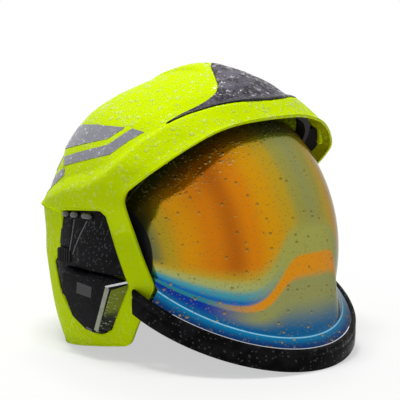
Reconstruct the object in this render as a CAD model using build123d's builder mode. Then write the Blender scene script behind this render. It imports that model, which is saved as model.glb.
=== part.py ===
from build123d import *
import math
import os

os.makedirs("parts", exist_ok=True)

# Firefighter's jet style helmet, in millimetres.
# X runs across and +X is the wearer's left, the face looks along -Y, and Z = 0 is what it stands on.
# A side outline is a list of (forward, height) points, where forward is -Y.

# Driving sizes of the shell
shell_height = 266.0
shell_half_width = 121.0
shell_front_reach = 124.0
shell_rear_reach = 160.0
shell_wall = 4.0
section_power = 2.35
outline_points = 16
overrun = 30.0

# Clearances
seat_gap = 0.3
running_gap = 0.05
slide_gap = 0.2

# Reflective strips and the crown badge, which lie on the shell
strip_thickness = 0.4
badge_thickness = 1.6
strip_inner_x = 40.0

# Lamp module in each side window
window_radius = 5.0
window_gap = 0.4
panel_recess = 2.5
panel_thickness = 4.0
panel_flange = 6.0
panel_flange_thickness = 2.0
panel_seat_gap = 0.5
body_face_x = 126.0
body_inner_x = 111.0
body_edge = 2.0
lamp_length = 39.0
lamp_top_width = 14.0
lamp_low_width = 8.5
lamp_forward = 9.5
lamp_inward = 11.0
lamp_pocket_depth = 7.0
lens_thickness = 1.8
lens_border = 0.8
bezel_thickness = 1.0
bezel_border = 1.4
board_thickness = 1.0
led_radius = 1.7
led_pitch = 10.0
led_cone_radius = 2.5
led_count = 3
door_thickness = 1.6
door_border = 4.0
battery_thickness = 9.0
battery_length = 46.0
battery_height = 22.0
battery_forward = -28.0
battery_z = 56.0
door_screw_radius = 1.4
door_screw_head = 2.6
door_screw_head_height = 1.2
door_screw_length = 5.0
switch_length = 18.0
switch_height = 13.0
switch_forward = -63.5
switch_z = 90.5
switch_proud = 6.5
switch_depth = 11.0
switch_rib = 1.3
switch_rib_depth = 0.9
switch_rib_count = 5
switch_radius = 2.0
lobe_length = 9.0
lobe_radius = 2.6
lobe_pitch = 14.0
lobe_count = 3
lobe_forward = -50.0
lobe_z = 131.0
groove_width = 1.2

# Pivot line that both visors turn about
pivot_forward = 0.0
pivot_z = 98.0
pin_radius = 4.0
pin_head_radius = 7.5
pin_head_height = 2.0
bracket_radius = 13.0
washer_radius = 8.5
hub_radius = 17.0

# Face shield, a bubble about the pivot line with a nose bump and a flared skirt
bubble_radius = 148.0
bubble_half_width = 108.0
shield_wall = 2.5
shield_top_angle = 63.0
shield_top_end_angle = 88.0
shield_side_angle = -19.5
shield_nose_angle = 3.0
shield_end_angle = 73.0
shield_columns = 24
nose_half_width = 40.0
nose_power = 6.0

# Chin lip along the shield's lower edge
lip_front = 160.0
lip_half_width = 118.5
lip_rear = 38.0
lip_height = 19.0
lip_top_slope = 0.41
lip_bottom_slope = 0.38
lip_thickness = 4.5
lip_end_angle = 93.0
brim_end_angle = 83.0
brim_width = 8.0
brim_rise = 9.0
shield_lip_gap = 0.3

# Ocular visor, which stows between the liner and the face shield
ocular_radius = 137.5
ocular_half_width = 99.0
ocular_wall = 2.2
ocular_low_angle = 50.0
ocular_span = 45.0
ocular_end_angle = 74.0
ocular_hub_radius = 14.0

# Space that the visors sweep, inside which the liner keeps
sweep_radius = 132.0
sweep_half_width = 93.0
sweep_low_angle = -60.0
sweep_arc = 193.0
sweep_side_arc = 213.0
sweep_side_x = 55.0

# The head and what holds it
head_forward = -23.0
head_z = 115.0
cavity_half_width = 86.0
cavity_half_length = 108.0
cavity_height = 101.0
liner_gap = 0.4
liner_side_z = 151.0
liner_rear_z = 108.0
liner_ear_forward = -90.0
liner_nape_forward = -98.0
band_half_width = 81.0
band_half_length = 100.0
band_thickness = 1.5
band_low_z = 118.0
band_top_z = 146.0
band_drop_z = 72.0
band_drop_half_width = 44.0
cradle_gap = 0.4
cradle_thickness = 1.4
cradle_strap_width = 22.0
pad_thickness = 3.6
pad_low_z = 121.0
pad_top_z = 143.0
pad_edge = 1.4
brow_pad_half_width = 66.0
nape_pad_half_width = 52.0

# Ratchet at the nape
ratchet_width = 54.0
ratchet_height = 26.0
ratchet_depth = 12.0
ratchet_z = 84.0
ratchet_edge = 3.0
knob_radius = 15.0
knob_height = 9.0
knob_grips = 18
knob_grip_radius = 1.3
shaft_radius = 3.0
pinion_radius = 4.8
pinion_teeth = 10
pinion_length = 4.0
tooth_depth = 1.0
rack_height = 5.0
rack_thickness = 1.8
rack_length = 42.0
rack_start = 8.0
rack_tooth_pitch = 3.0
rack_travel = 12.0
rack_mesh_gap = 0.3

# Chin strap, a loop of webbing that falls a little towards its anchors
strap_width = 16.0
strap_thickness = 1.5
strap_front = 60.0
strap_front_z = 54.0
strap_slope = -7.0
strap_half_width = 97.0
strap_corner_x = 60.0
strap_rear_forward = -90.0
strap_side_forward = 10.0
strap_bend = 24.0
anchor_radius = 5.5
anchor_rivet_radius = 2.2
anchor_rivet_head = 4.0
socket_x = 33.0
socket_length = 26.0
socket_depth = 10.0
socket_height = 22.0
socket_edge = 2.0
tongue_length = 16.0
tongue_plate = 3.4
tongue_reach = 15.0
tongue_width = 13.0
button_radius = 5.0
button_height = 3.0
button_proud = 1.6
button_travel = 1.4
chin_pad_length = 46.0
chin_pad_x = -22.0
chin_pad_thickness = 9.0
chin_pad_height = 26.0
chin_pad_edge = 3.0

# Rubber seal behind the upper edge of the face opening
seal_depth = 5.0
seal_width = 11.0
seal_low_z = 176.0

# Share of height, half width, front reach and rear reach at each level of the shell
section_shares = [
    (0.0, 0.934, 0.766, 0.81),
    (0.113, 0.967, 0.823, 0.90),
    (0.263, 0.992, 0.871, 0.97),
    (0.414, 1.0, 0.911, 1.0),
    (0.564, 0.975, 0.96, 0.95),
    (0.695, 0.893, 1.0, 0.844),
    (0.797, 0.76, 0.952, 0.731),
    (0.872, 0.579, 0.782, 0.569),
    (0.929, 0.393, 0.597, 0.363),
    (0.966, 0.24, 0.419, 0.213),
    (0.989, 0.13, 0.25, 0.098),
    (1.0, 0.05, 0.13, 0.0),
]

# Side outlines as shares of the rear reach (forward) and of the height
opening_shares = [
    (0.94, 0.90),
    (0.575, 0.842),
    (0.081, 0.602),
    (0.291, 0.278),
    (0.12, 0.068),
    (-0.606, 0.0),
]
opening_radii_share = [0.375, 0.0875, 0.044, 0.0625]
window_shares = [
    (-0.425, 0.504),
    (-0.05, 0.534),
    (0.0, 0.515),
    (0.161, 0.274),
    (0.017, 0.105),
    (-0.0875, 0.079),
    (-0.3125, 0.113),
    (-0.50, 0.205),
    (-0.545, 0.308),
    (-0.47, 0.346),
]
body_shares = [
    (-0.385, 0.306),
    (0.142, 0.302),
    (0.150, 0.275),
    (0.012, 0.113),
    (-0.08, 0.088),
    (-0.305, 0.122),
    (-0.405, 0.19),
]
bezel_top_share = (0.078, 0.268)
bezel_low_share = (-0.040, 0.108)
groove_shares = [[(-0.30, 0.475), (-0.345, 0.36)], [(-0.18, 0.478), (-0.315, 0.35)]]
upper_strip_shares = [
    (-0.62, 0.765),
    (-0.325, 0.796),
    (-0.047, 0.806),
    (-0.13, 0.763),
    (-0.66, 0.69),
]
lower_strip_shares = [
    (-0.55, 0.672),
    (-0.11, 0.744),
    (0.026, 0.803),
    (0.119, 0.801),
    (0.029, 0.768),
    (-0.069, 0.72),
    (-0.498, 0.648),
]
rear_strip_shares = [(0.0, 0.70), (-0.52, 0.62), (-0.52, 0.55), (0.0, 0.63)]
badge_back_shares = [(0.0, 0.12), (0.19, 0.26), (0.36, 0.382)]
badge_side_shares = [(0.36, 0.382), (0.53, 0.342), (0.70, 0.25)]
badge_front_shares = [(0.70, 0.25), (0.45, 0.435), (0.0, 0.545)]


def side_points(shares):
    return [(-forward * shell_rear_reach, height * shell_height) for forward, height in shares]


def plan_points(shares):
    return [(across * shell_half_width, -forward * shell_rear_reach) for across, forward in shares]


def inset_sections(inset, drop):
    rows = []
    for height, width, front, rear in section_shares:
        rows.append((
            height * shell_height,
            width * shell_half_width,
            front * shell_front_reach,
            rear * shell_rear_reach,
        ))
    last = len(rows) - 1
    sections = []
    for index, (z, half_width, front, rear) in enumerate(rows):
        below = rows[max(index - 1, 0)]
        above = rows[min(index + 1, last)]
        rise = above[0] - below[0]
        spread = (2 * (above[1] - below[1]) + above[2] - below[2] + above[3] - below[3]) / 4
        length = math.hypot(rise, spread)
        side = rise / length * inset
        if index == last:
            sections.append((z - inset, half_width, front, rear))
        else:
            sections.append((z + spread / length * inset, half_width - side, front - side, rear - side))
    if drop > 0:
        sections.insert(0, (-drop, *sections[0][1:]))
    return sections


def section_outline(half_width, front, rear):
    middle = (front - rear) / 2
    reach = (front + rear) / 2
    points = []
    for step in range(outline_points):
        angle = 2 * math.pi * step / outline_points
        across = math.copysign(abs(math.cos(angle)) ** (2 / section_power), math.cos(angle))
        along = math.copysign(abs(math.sin(angle)) ** (2 / section_power), math.sin(angle))
        points.append((half_width * across, -(middle + reach * along)))
    return points


def shell_form(inset, drop):
    with BuildPart() as form:
        for z, half_width, front, rear in inset_sections(inset, drop):
            with BuildSketch(Plane.XY.offset(z)):
                with BuildLine():
                    Spline(section_outline(half_width, front, rear), periodic=True)
                make_face()
        loft()
    return form.part


outer_form = shell_form(0, 0)
inner_form = shell_form(shell_wall, overrun)
strip_form = shell_form(-strip_thickness, 0)
badge_form = shell_form(-badge_thickness, 0)
panel_outer_form = shell_form(panel_recess, 0)
panel_inner_form = shell_form(panel_recess + panel_thickness, overrun)
flange_outer_form = shell_form(shell_wall + panel_seat_gap, 0)
flange_inner_form = shell_form(shell_wall + panel_seat_gap + panel_flange_thickness, overrun)
bracket_form = shell_form(panel_recess + panel_thickness + seat_gap, 0)
liner_form = shell_form(shell_wall + liner_gap, 0)
seal_form = shell_form(shell_wall + seat_gap, 0)
seal_inner_form = shell_form(shell_wall + seat_gap + seal_depth, overrun)

sides = [(-1, "right"), (1, "left")]
side_reach = shell_half_width + overrun
window_depth = strip_inner_x

# Outer shell with its face opening, slanted ear edges and a window in each side
opening_radii = [share * shell_rear_reach for share in opening_radii_share]
opening_points = side_points(opening_shares)
low_front = (-lip_front - overrun, -overrun)
high_front = (-lip_front - overrun, opening_points[0][1])
rear_low = (opening_points[-1][0], -overrun)
with BuildPart() as outer_shell:
    add(outer_form)
    add(inner_form, mode=Mode.SUBTRACT)
    with BuildSketch(Plane.YZ):
        with BuildLine():
            FilletPolyline(*opening_points, radius=opening_radii)
            Polyline(opening_points[-1], rear_low, low_front, high_front, opening_points[0])
        make_face()
    extrude(amount=side_reach, both=True, mode=Mode.SUBTRACT)
    for side, hand in sides:
        with BuildSketch(Plane.YZ.offset(side * window_depth)):
            with BuildLine():
                FilletPolyline(*side_points(window_shares), radius=window_radius, close=True)
            make_face()
        extrude(amount=side * side_reach, mode=Mode.SUBTRACT)
outer_shell.part.label = "outer_shell"
export_step(outer_shell.part, "parts/outer_shell.step")

# Black rubber seal behind the upper edge of the face opening
with BuildPart() as brow_seal:
    add(seal_form)
    add(seal_inner_form, mode=Mode.SUBTRACT)
    with BuildSketch(Plane.YZ):
        with BuildLine():
            FilletPolyline(*opening_points[:3], radius=opening_radii[0])
        trace(line_width=2 * seal_width)
        with BuildLine():
            FilletPolyline(*opening_points[:3], opening_points[3], radius=opening_radii[:2])
            Polyline(opening_points[3], low_front, high_front, opening_points[0])
        make_face(mode=Mode.SUBTRACT)
        with Locations((0, seal_low_z - shell_height)):
            Rectangle(2 * side_reach + 2 * shell_rear_reach, 2 * shell_height, mode=Mode.SUBTRACT)
    extrude(amount=side_reach, both=True, mode=Mode.INTERSECT)
brow_seal.part.label = "brow_seal"
export_step(brow_seal.part, "parts/brow_seal.step")

# Rough grey badge on the front of the crown
badge_arcs = [badge_back_shares, badge_side_shares, badge_front_shares]
with BuildPart() as crown_badge:
    add(badge_form)
    add(outer_form, mode=Mode.SUBTRACT)
    with BuildSketch(Plane.XY.offset(shell_height / 2)):
        with BuildLine():
            for shares in badge_arcs:
                ThreePointArc(*plan_points(shares))
            Line(plan_points(badge_front_shares)[-1], plan_points(badge_back_shares)[0])
        make_face()
        mirror(about=Plane.YZ)
    extrude(amount=shell_height, mode=Mode.INTERSECT)
crown_badge.part.label = "crown_badge"
export_step(crown_badge.part, "parts/crown_badge.step")

# Reflective strips on each side and across the back
for side, hand in sides:
    with BuildPart() as side_strips:
        add(strip_form)
        add(outer_form, mode=Mode.SUBTRACT)
        with BuildSketch(Plane.YZ.offset(side * strip_inner_x)):
            for shares in (upper_strip_shares, lower_strip_shares):
                with BuildLine():
                    Polyline(*side_points(shares), close=True)
                make_face()
        extrude(amount=side * side_reach, mode=Mode.INTERSECT)
    side_strips.part.label = f"reflective_strips_{hand}"
    export_step(side_strips.part, f"parts/reflective_strips_{hand}.step")

rear_strip_points = [
    (across * shell_half_width, height * shell_height) for across, height in rear_strip_shares
]
with BuildPart() as rear_strips:
    add(strip_form)
    add(outer_form, mode=Mode.SUBTRACT)
    with BuildSketch(Plane.XZ):
        with BuildLine():
            Polyline(*rear_strip_points, close=True)
        make_face()
        mirror(about=Plane.YZ)
    extrude(amount=-2 * shell_rear_reach, mode=Mode.INTERSECT)
rear_strips.part.label = "reflective_strip_rear"
export_step(rear_strips.part, "parts/reflective_strip_rear.step")

# The lamp's face tapers downwards: an outline on its plane, drawn in by a border
def lamp_outline(turn, border, mode=Mode.ADD):
    half_length = lamp_length / 2 - border
    Polygon(
        (half_length, turn * border),
        (half_length, turn * (lamp_top_width - border)),
        (-half_length, turn * (lamp_low_width - border)),
        (-half_length, turn * border),
        align=None,
        mode=mode,
    )


# Lamp module, the same on both sides
bezel_top = side_points([bezel_top_share])[0]
bezel_low = side_points([bezel_low_share])[0]
for side, hand in sides:
    top = Vector(side * body_face_x, *bezel_top)
    low = Vector(side * body_face_x, *bezel_low)
    along = (top - low).normalized()
    outward = Vector(side, 0, 0)
    forward = outward.cross(along) * side
    if forward.Y > 0:
        forward = forward * -1
    slope = (forward * lamp_forward - outward * lamp_inward).normalized()
    normal = along.cross(slope)
    turn = 1
    if normal.X * side < 0:
        normal = normal * -1
        turn = -1
    lamp_plane = Plane(origin=(top + low) * 0.5, x_dir=along, z_dir=normal)
    board_plane = lamp_plane.offset(-lamp_pocket_depth)
    panel_x = body_inner_x + panel_thickness

    # Black panel that fills the window, seated behind the shell by a flange
    with BuildPart() as flange:
        add(flange_outer_form)
        add(flange_inner_form, mode=Mode.SUBTRACT)
        with BuildSketch(Plane.YZ.offset(side * window_depth)):
            with BuildLine():
                FilletPolyline(*side_points(window_shares), radius=window_radius, close=True)
            make_face()
            offset(amount=panel_flange)
        extrude(amount=side * side_reach, mode=Mode.INTERSECT)
    with BuildPart() as panel:
        add(panel_outer_form)
        add(panel_inner_form, mode=Mode.SUBTRACT)
        with BuildSketch(Plane.YZ.offset(side * window_depth)):
            with BuildLine():
                FilletPolyline(*side_points(window_shares), radius=window_radius, close=True)
            make_face()
            offset(amount=-window_gap)
        extrude(amount=side * side_reach, mode=Mode.INTERSECT)
        add(flange.part)
        for row in range(lobe_count):
            with Locations((side * panel_x, -lobe_forward - row * lobe_pitch, lobe_z)):
                Cylinder(lobe_radius, lobe_length, rotation=(90, 0, 0))
        with BuildSketch(Plane.YZ.offset(side * panel_x)):
            for shares in groove_shares:
                with BuildLine():
                    Line(*side_points(shares))
                trace(line_width=groove_width)
        extrude(amount=side * side_reach, mode=Mode.SUBTRACT)
        with BuildSketch(Plane.YZ.offset(side * window_depth)):
            with BuildLine():
                FilletPolyline(*side_points(body_shares), radius=window_radius, close=True)
            make_face()
            offset(amount=slide_gap)
            with Locations((-switch_forward, switch_z)):
                RectangleRounded(
                    switch_length + 2 * slide_gap, switch_height + 2 * slide_gap, switch_radius
                )
        extrude(amount=side * side_reach, mode=Mode.SUBTRACT)
    panel.part.label = f"lamp_panel_{hand}"
    export_step(panel.part, f"parts/lamp_panel_{hand}.step")

    # Lamp body with a slanted front face, a lamp pocket and a battery bay open to the inside
    bay_depth = battery_thickness + 2 * slide_gap
    with BuildPart() as body:
        with BuildSketch(Plane.YZ.offset(side * body_inner_x)):
            with BuildLine():
                FilletPolyline(*side_points(body_shares), radius=window_radius, close=True)
            make_face()
        extrude(amount=side * (body_face_x - body_inner_x))
        outer_face = body.faces().filter_by(Axis.X).sort_by(Axis.X)[-1 if side > 0 else 0]
        chamfer(outer_face.edges(), length=body_edge)
        with BuildSketch(lamp_plane):
            Rectangle(3 * lamp_length, 4 * lamp_top_width)
        extrude(amount=overrun, mode=Mode.SUBTRACT)
        with BuildSketch(lamp_plane):
            lamp_outline(turn, bezel_border)
        extrude(amount=-lamp_pocket_depth, mode=Mode.SUBTRACT)
        with BuildSketch(Plane.YZ.offset(side * body_inner_x)):
            with Locations((-battery_forward, battery_z)):
                Rectangle(battery_length + 2 * slide_gap, battery_height + 2 * slide_gap)
        extrude(amount=side * bay_depth, mode=Mode.SUBTRACT)
        screw_sites = [
            (-battery_forward + end * (battery_length / 2 + door_border / 2 + door_screw_head / 2), battery_z)
            for end in (-1, 1)
        ]
        with BuildSketch(Plane.YZ.offset(side * body_inner_x)):
            with Locations(*screw_sites):
                Circle(door_screw_radius + running_gap)
        extrude(amount=side * (door_screw_length + slide_gap), mode=Mode.SUBTRACT)
    body.part.label = f"lamp_body_{hand}"
    export_step(body.part, f"parts/lamp_body_{hand}.step")

    # Lens, bezel, reflector and light board on the slanted face
    pocket_border = bezel_border + slide_gap
    led_places = []
    for place in range(led_count):
        led_along = (place - (led_count - 1) / 2) * led_pitch
        rise_share = led_along / lamp_length + 0.5
        led_width = lamp_low_width + (lamp_top_width - lamp_low_width) * rise_share
        led_places.append((led_along, turn * led_width / 2))
    with BuildPart() as lens:
        with BuildSketch(lamp_plane):
            lamp_outline(turn, pocket_border)
        extrude(amount=-lens_thickness)
    lens.part.label = f"lamp_lens_{hand}"
    export_step(lens.part, f"parts/lamp_lens_{hand}.step")

    with BuildPart() as bezel:
        with BuildSketch(lamp_plane.offset(slide_gap)):
            lamp_outline(turn, 0)
            lamp_outline(turn, bezel_border + lens_border, mode=Mode.SUBTRACT)
        extrude(amount=bezel_thickness)
    bezel.part.label = f"lamp_bezel_{hand}"
    export_step(bezel.part, f"parts/lamp_bezel_{hand}.step")

    with BuildPart() as board:
        with BuildSketch(board_plane.offset(slide_gap)):
            lamp_outline(turn, pocket_border)
        extrude(amount=board_thickness)
        with Locations(board_plane.offset(slide_gap + board_thickness)):
            with Locations(*led_places):
                Cylinder(led_radius, board_thickness, align=(Align.CENTER, Align.CENTER, Align.MIN))
    board.part.label = f"lamp_board_{hand}"
    export_step(board.part, f"parts/lamp_board_{hand}.step")

    reflector_low = slide_gap + board_thickness + slide_gap
    reflector_height = lamp_pocket_depth - lens_thickness - reflector_low - slide_gap
    with BuildPart() as reflector:
        with BuildSketch(board_plane.offset(reflector_low)):
            lamp_outline(turn, pocket_border)
        extrude(amount=reflector_height)
        with Locations(board_plane.offset(reflector_low)):
            with Locations(*led_places):
                Cone(
                    led_radius + seat_gap,
                    led_cone_radius,
                    reflector_height,
                    align=(Align.CENTER, Align.CENTER, Align.MIN),
                    mode=Mode.SUBTRACT,
                )
    reflector.part.label = f"lamp_reflector_{hand}"
    export_step(reflector.part, f"parts/lamp_reflector_{hand}.step")

    # Battery, the door behind it and the door's screws
    with BuildPart() as battery:
        with BuildSketch(Plane.YZ.offset(side * (body_inner_x + slide_gap))):
            with Locations((-battery_forward, battery_z)):
                RectangleRounded(battery_length, battery_height, switch_radius)
        extrude(amount=side * battery_thickness)
    battery.part.label = f"lamp_battery_{hand}"
    export_step(battery.part, f"parts/lamp_battery_{hand}.step")

    door_x = body_inner_x - door_thickness - running_gap
    with BuildPart() as door:
        with BuildSketch(Plane.YZ.offset(side * door_x)):
            with Locations((-battery_forward, battery_z)):
                RectangleRounded(
                    battery_length + 4 * door_border, battery_height + door_border, switch_radius
                )
            with Locations(*screw_sites):
                Circle(door_screw_radius + running_gap, mode=Mode.SUBTRACT)
        extrude(amount=side * door_thickness)
    door.part.label = f"battery_door_{hand}"
    export_step(door.part, f"parts/battery_door_{hand}.step")

    with BuildPart() as screws:
        with BuildSketch(Plane.YZ.offset(side * (door_x - running_gap))):
            with Locations(*screw_sites):
                Circle(door_screw_head)
        extrude(amount=-side * door_screw_head_height)
        with BuildSketch(Plane.YZ.offset(side * (door_x - running_gap))):
            with Locations(*screw_sites):
                Circle(door_screw_radius)
        extrude(amount=side * (door_thickness + door_screw_length))
    screws.part.label = f"door_screws_{hand}"
    export_step(screws.part, f"parts/door_screws_{hand}.step")

    # Ribbed press switch at the back of the module
    switch_face_x = body_inner_x + switch_proud
    with BuildPart() as switch:
        with BuildSketch(Plane.YZ.offset(side * switch_face_x)):
            with Locations((-switch_forward, switch_z)):
                RectangleRounded(switch_length, switch_height, switch_radius)
        extrude(amount=-side * switch_depth)
        with BuildSketch(Plane.YZ.offset(side * switch_face_x)):
            with Locations((-switch_forward, switch_z)):
                with GridLocations(2 * switch_rib, 0, switch_rib_count, 1):
                    Rectangle(switch_rib, switch_height)
        extrude(amount=side * switch_rib_depth)
    switch.part.label = f"lamp_switch_{hand}"
    export_step(switch.part, f"parts/lamp_switch_{hand}.step")

# Pivot hardware on each side, from the head inwards: pin, ocular plate, washer, shield plate and bracket
pivot_point = (-pivot_forward, pivot_z)
pivot_axis = Axis((0, *pivot_point), (1, 0, 0))
shield_end_share = math.sin(math.radians(shield_end_angle))
ocular_end_share = math.sin(math.radians(ocular_end_angle))
shield_plate_x = (bubble_half_width - shield_wall) * shield_end_share - seat_gap
ocular_plate_x = (ocular_half_width - ocular_wall) * ocular_end_share - seat_gap
washer_low_x = ocular_plate_x + ocular_wall + seat_gap + running_gap
washer_high_x = shield_plate_x - running_gap
bracket_x = shield_plate_x + shield_wall + 2 * seat_gap
pin_low_x = ocular_plate_x - running_gap
pin_high_x = bracket_x + 2 * pin_radius
with BuildPart() as pivot_pins:
    for side, hand in sides:
        with BuildSketch(Plane.YZ.offset(side * pin_low_x)):
            with Locations(pivot_point):
                Circle(pin_head_radius)
        extrude(amount=-side * pin_head_height)
        with BuildSketch(Plane.YZ.offset(side * pin_low_x)):
            with Locations(pivot_point):
                Circle(pin_radius)
        extrude(amount=side * (pin_high_x - pin_low_x))
pivot_pins.part.label = "pivot_pins"
export_step(pivot_pins.part, "parts/pivot_pins.step")

with BuildPart() as pivot_washers:
    for side, hand in sides:
        with BuildSketch(Plane.YZ.offset(side * washer_low_x)):
            with Locations(pivot_point):
                Circle(washer_radius)
                Circle(pin_radius + running_gap, mode=Mode.SUBTRACT)
        extrude(amount=side * (washer_high_x - washer_low_x))
pivot_washers.part.label = "pivot_washers"
export_step(pivot_washers.part, "parts/pivot_washers.step")

for side, hand in sides:
    with BuildPart() as bracket:
        add(bracket_form)
        with BuildSketch(Plane.YZ.offset(side * bracket_x)):
            with Locations(pivot_point):
                Circle(bracket_radius)
        extrude(amount=side * side_reach, mode=Mode.INTERSECT)
        with BuildSketch(Plane.YZ.offset(side * bracket_x)):
            with Locations(pivot_point):
                Circle(pin_radius + running_gap)
        extrude(amount=side * (pin_high_x - bracket_x + slide_gap), mode=Mode.SUBTRACT)
    bracket.part.label = f"pivot_bracket_{hand}"
    export_step(bracket.part, f"parts/pivot_bracket_{hand}.step")


def pivot_ray(radius, angle):
    turn = math.radians(angle)
    return (-pivot_forward - radius * math.cos(turn), pivot_z + radius * math.sin(turn))


# A sector of a disc about the pivot line, for a visor's end plate
def sector(radius, start, end):
    with BuildLine() as rim:
        Line(pivot_point, pivot_ray(radius, start))
        ThreePointArc(
            pivot_ray(radius, start), pivot_ray(radius, (start + end) / 2), pivot_ray(radius, end)
        )
        Line(pivot_ray(radius, end), pivot_point)
    make_face(rim.edges())


def nose_share(across):
    return 1 / (1 + (abs(across) / nose_half_width) ** nose_power)


# The shield's top edge lies in one plane, through its middle and its two ends
top_turn = math.radians(shield_top_angle)
top_end_turn = math.radians(shield_top_end_angle)
end_radius = bubble_radius * math.cos(math.radians(shield_end_angle))
top_run = bubble_radius * math.cos(top_turn) - end_radius * math.cos(top_end_turn)
top_rise = bubble_radius * math.sin(top_turn) - end_radius * math.sin(top_end_turn)
top_tilt = math.atan2(top_rise, top_run)
top_lift = bubble_radius * math.sin(top_turn - top_tilt)


def shield_top(radius):
    return top_tilt + math.asin(top_lift / radius)


def lip_plan(turn, inset):
    half_width = lip_half_width - inset
    reach = lip_front - inset - lip_rear
    across = half_width * math.sin(turn)
    forward = lip_rear + reach * math.cos(turn)
    normal_across = math.sin(turn) / half_width
    normal_forward = math.cos(turn) / reach
    length = math.hypot(normal_across, normal_forward)
    return across, forward, normal_across / length, normal_forward / length


# A point of the shield: column runs from -1 to 1 across, and row from 0 at the top edge,
# through 1 at the foot of the bubble and 2 at the foot of the skirt, to 3 at the outer edge of the brim
def shield_point(column, row, inset):
    turn = math.radians(shield_end_angle) * column
    across = (bubble_half_width - inset) * math.sin(turn)
    radius = (bubble_radius - inset) * math.cos(turn)
    nose = nose_share(across)
    top_angle = shield_top(radius)
    low_angle = math.radians(shield_side_angle + (shield_nose_angle - shield_side_angle) * nose)
    angle = top_angle + (low_angle - top_angle) * min(row, 1)
    foot = (across, pivot_forward + radius * math.cos(angle), pivot_z + radius * math.sin(angle))
    if row <= 1:
        return (foot[0], -foot[1], foot[2])
    lip_turn = math.radians(brim_end_angle) * column
    edge_inset = lip_thickness + shield_lip_gap + inset
    edge_x, edge_forward, normal_x, normal_forward = lip_plan(lip_turn, edge_inset)
    edge_z = lip_height + lip_top_slope * (lip_front - edge_forward)
    brim_x = edge_x - brim_width * normal_x
    brim_forward = edge_forward - brim_width * normal_forward
    if row <= 2:
        down = row - 1
        flare = nose * (1 - (1 - down) ** 4) + (1 - nose) * down ** 1.3
        return (
            foot[0] + (brim_x - foot[0]) * flare,
            -(foot[1] + (brim_forward - foot[1]) * flare),
            foot[2] + (edge_z + brim_rise - foot[2]) * down,
        )
    out = row - 2
    return (
        brim_x + (edge_x - brim_x) * out,
        -(brim_forward + (edge_forward - brim_forward) * out),
        edge_z + brim_rise * (1 - out),
    )


# Face shield: bubble, nose bump, skirt and brim, with a plate at each end that turns on the pin
shield_row_shares = [0, 0.15, 0.3, 0.45, 0.6, 0.75, 0.87, 1, 1.15, 1.35, 1.55, 1.8, 2, 2.5, 3]
columns = [2 * step / shield_columns - 1 for step in range(shield_columns + 1)]
shield_wires = []
for row in shield_row_shares:
    outer_points = [shield_point(column, row, 0) for column in columns]
    inner_points = [shield_point(column, row, shield_wall) for column in reversed(columns)]
    with BuildLine() as loop:
        Spline(*outer_points)
        Line(outer_points[-1], inner_points[0])
        Spline(*inner_points)
        Line(inner_points[-1], outer_points[0])
    shield_wires.append(loop.wire())
plate_radius = end_radius + shield_wall / 2
with BuildPart() as face_shield:
    add(Solid.make_loft(shield_wires))
    for side, hand in sides:
        with BuildSketch(Plane.YZ.offset(side * shield_plate_x)):
            for angle in (shield_top_end_angle, shield_side_angle):
                sector(plate_radius, 0, angle)
            with Locations(pivot_point):
                Circle(hub_radius)
                Circle(pin_radius + running_gap, mode=Mode.SUBTRACT)
        extrude(amount=side * shield_wall)
face_shield.part.label = "face_shield"
export_step(face_shield.part, "parts/face_shield.step")

# Chin lip, a band outside the brim that ends in free tabs
lip_turns = [math.radians(lip_end_angle) * column for column in columns]
lip_outer = [lip_plan(turn, 0)[:2] for turn in lip_turns]
lip_inner = [lip_plan(turn, lip_thickness)[:2] for turn in reversed(lip_turns)]
lip_outer = [(across, -forward) for across, forward in lip_outer]
lip_inner = [(across, -forward) for across, forward in lip_inner]
rear_run = lip_front - lip_rear + overrun
with BuildPart() as chin_lip:
    with BuildSketch():
        with BuildLine():
            Spline(*lip_outer)
            Line(lip_outer[-1], lip_inner[0])
            Spline(*lip_inner)
            Line(lip_inner[-1], lip_outer[0])
        make_face()
    extrude(amount=shell_height)
    with BuildSketch(Plane.YZ):
        with BuildLine():
            Polyline(
                (-lip_front, 0),
                (-lip_front + rear_run, lip_bottom_slope * rear_run),
                (-lip_front + rear_run, lip_height + lip_top_slope * rear_run),
                (-lip_front, lip_height),
                (-lip_front - overrun, lip_height),
                (-lip_front - overrun, 0),
                close=True,
            )
        make_face()
    extrude(amount=side_reach, both=True, mode=Mode.INTERSECT)
chin_lip.part.label = "chin_lip"
export_step(chin_lip.part, "parts/chin_lip.step")


def spin_plane(angle):
    turn = math.radians(angle)
    radial = Vector(0, -math.cos(turn), math.sin(turn))
    across = Vector(1, 0, 0)
    return Plane(origin=(0, *pivot_point), x_dir=across, z_dir=across.cross(radial))


# Ocular visor, stowed up behind the brow
ocular_end_x = ocular_half_width * ocular_end_share
with BuildPart() as ocular_visor:
    with BuildSketch(spin_plane(ocular_low_angle)):
        Ellipse(ocular_half_width, ocular_radius)
        Ellipse(ocular_half_width - ocular_wall, ocular_radius - ocular_wall, mode=Mode.SUBTRACT)
        with Locations((0, ocular_radius)):
            Rectangle(2 * ocular_plate_x + ocular_wall, 2 * ocular_radius, mode=Mode.INTERSECT)
    revolve(axis=pivot_axis, revolution_arc=-ocular_span)
    ocular_plate_radius = ocular_radius * math.cos(math.radians(ocular_end_angle)) + ocular_wall
    for side, hand in sides:
        with BuildSketch(Plane.YZ.offset(side * ocular_plate_x)):
            sector(ocular_plate_radius, ocular_low_angle, ocular_low_angle + ocular_span)
            with Locations(pivot_point):
                Circle(ocular_hub_radius)
                Circle(pin_radius + running_gap, mode=Mode.SUBTRACT)
        extrude(amount=side * ocular_wall)
ocular_visor.part.label = "ocular_visor"
export_step(ocular_visor.part, "parts/ocular_visor.step")

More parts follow.
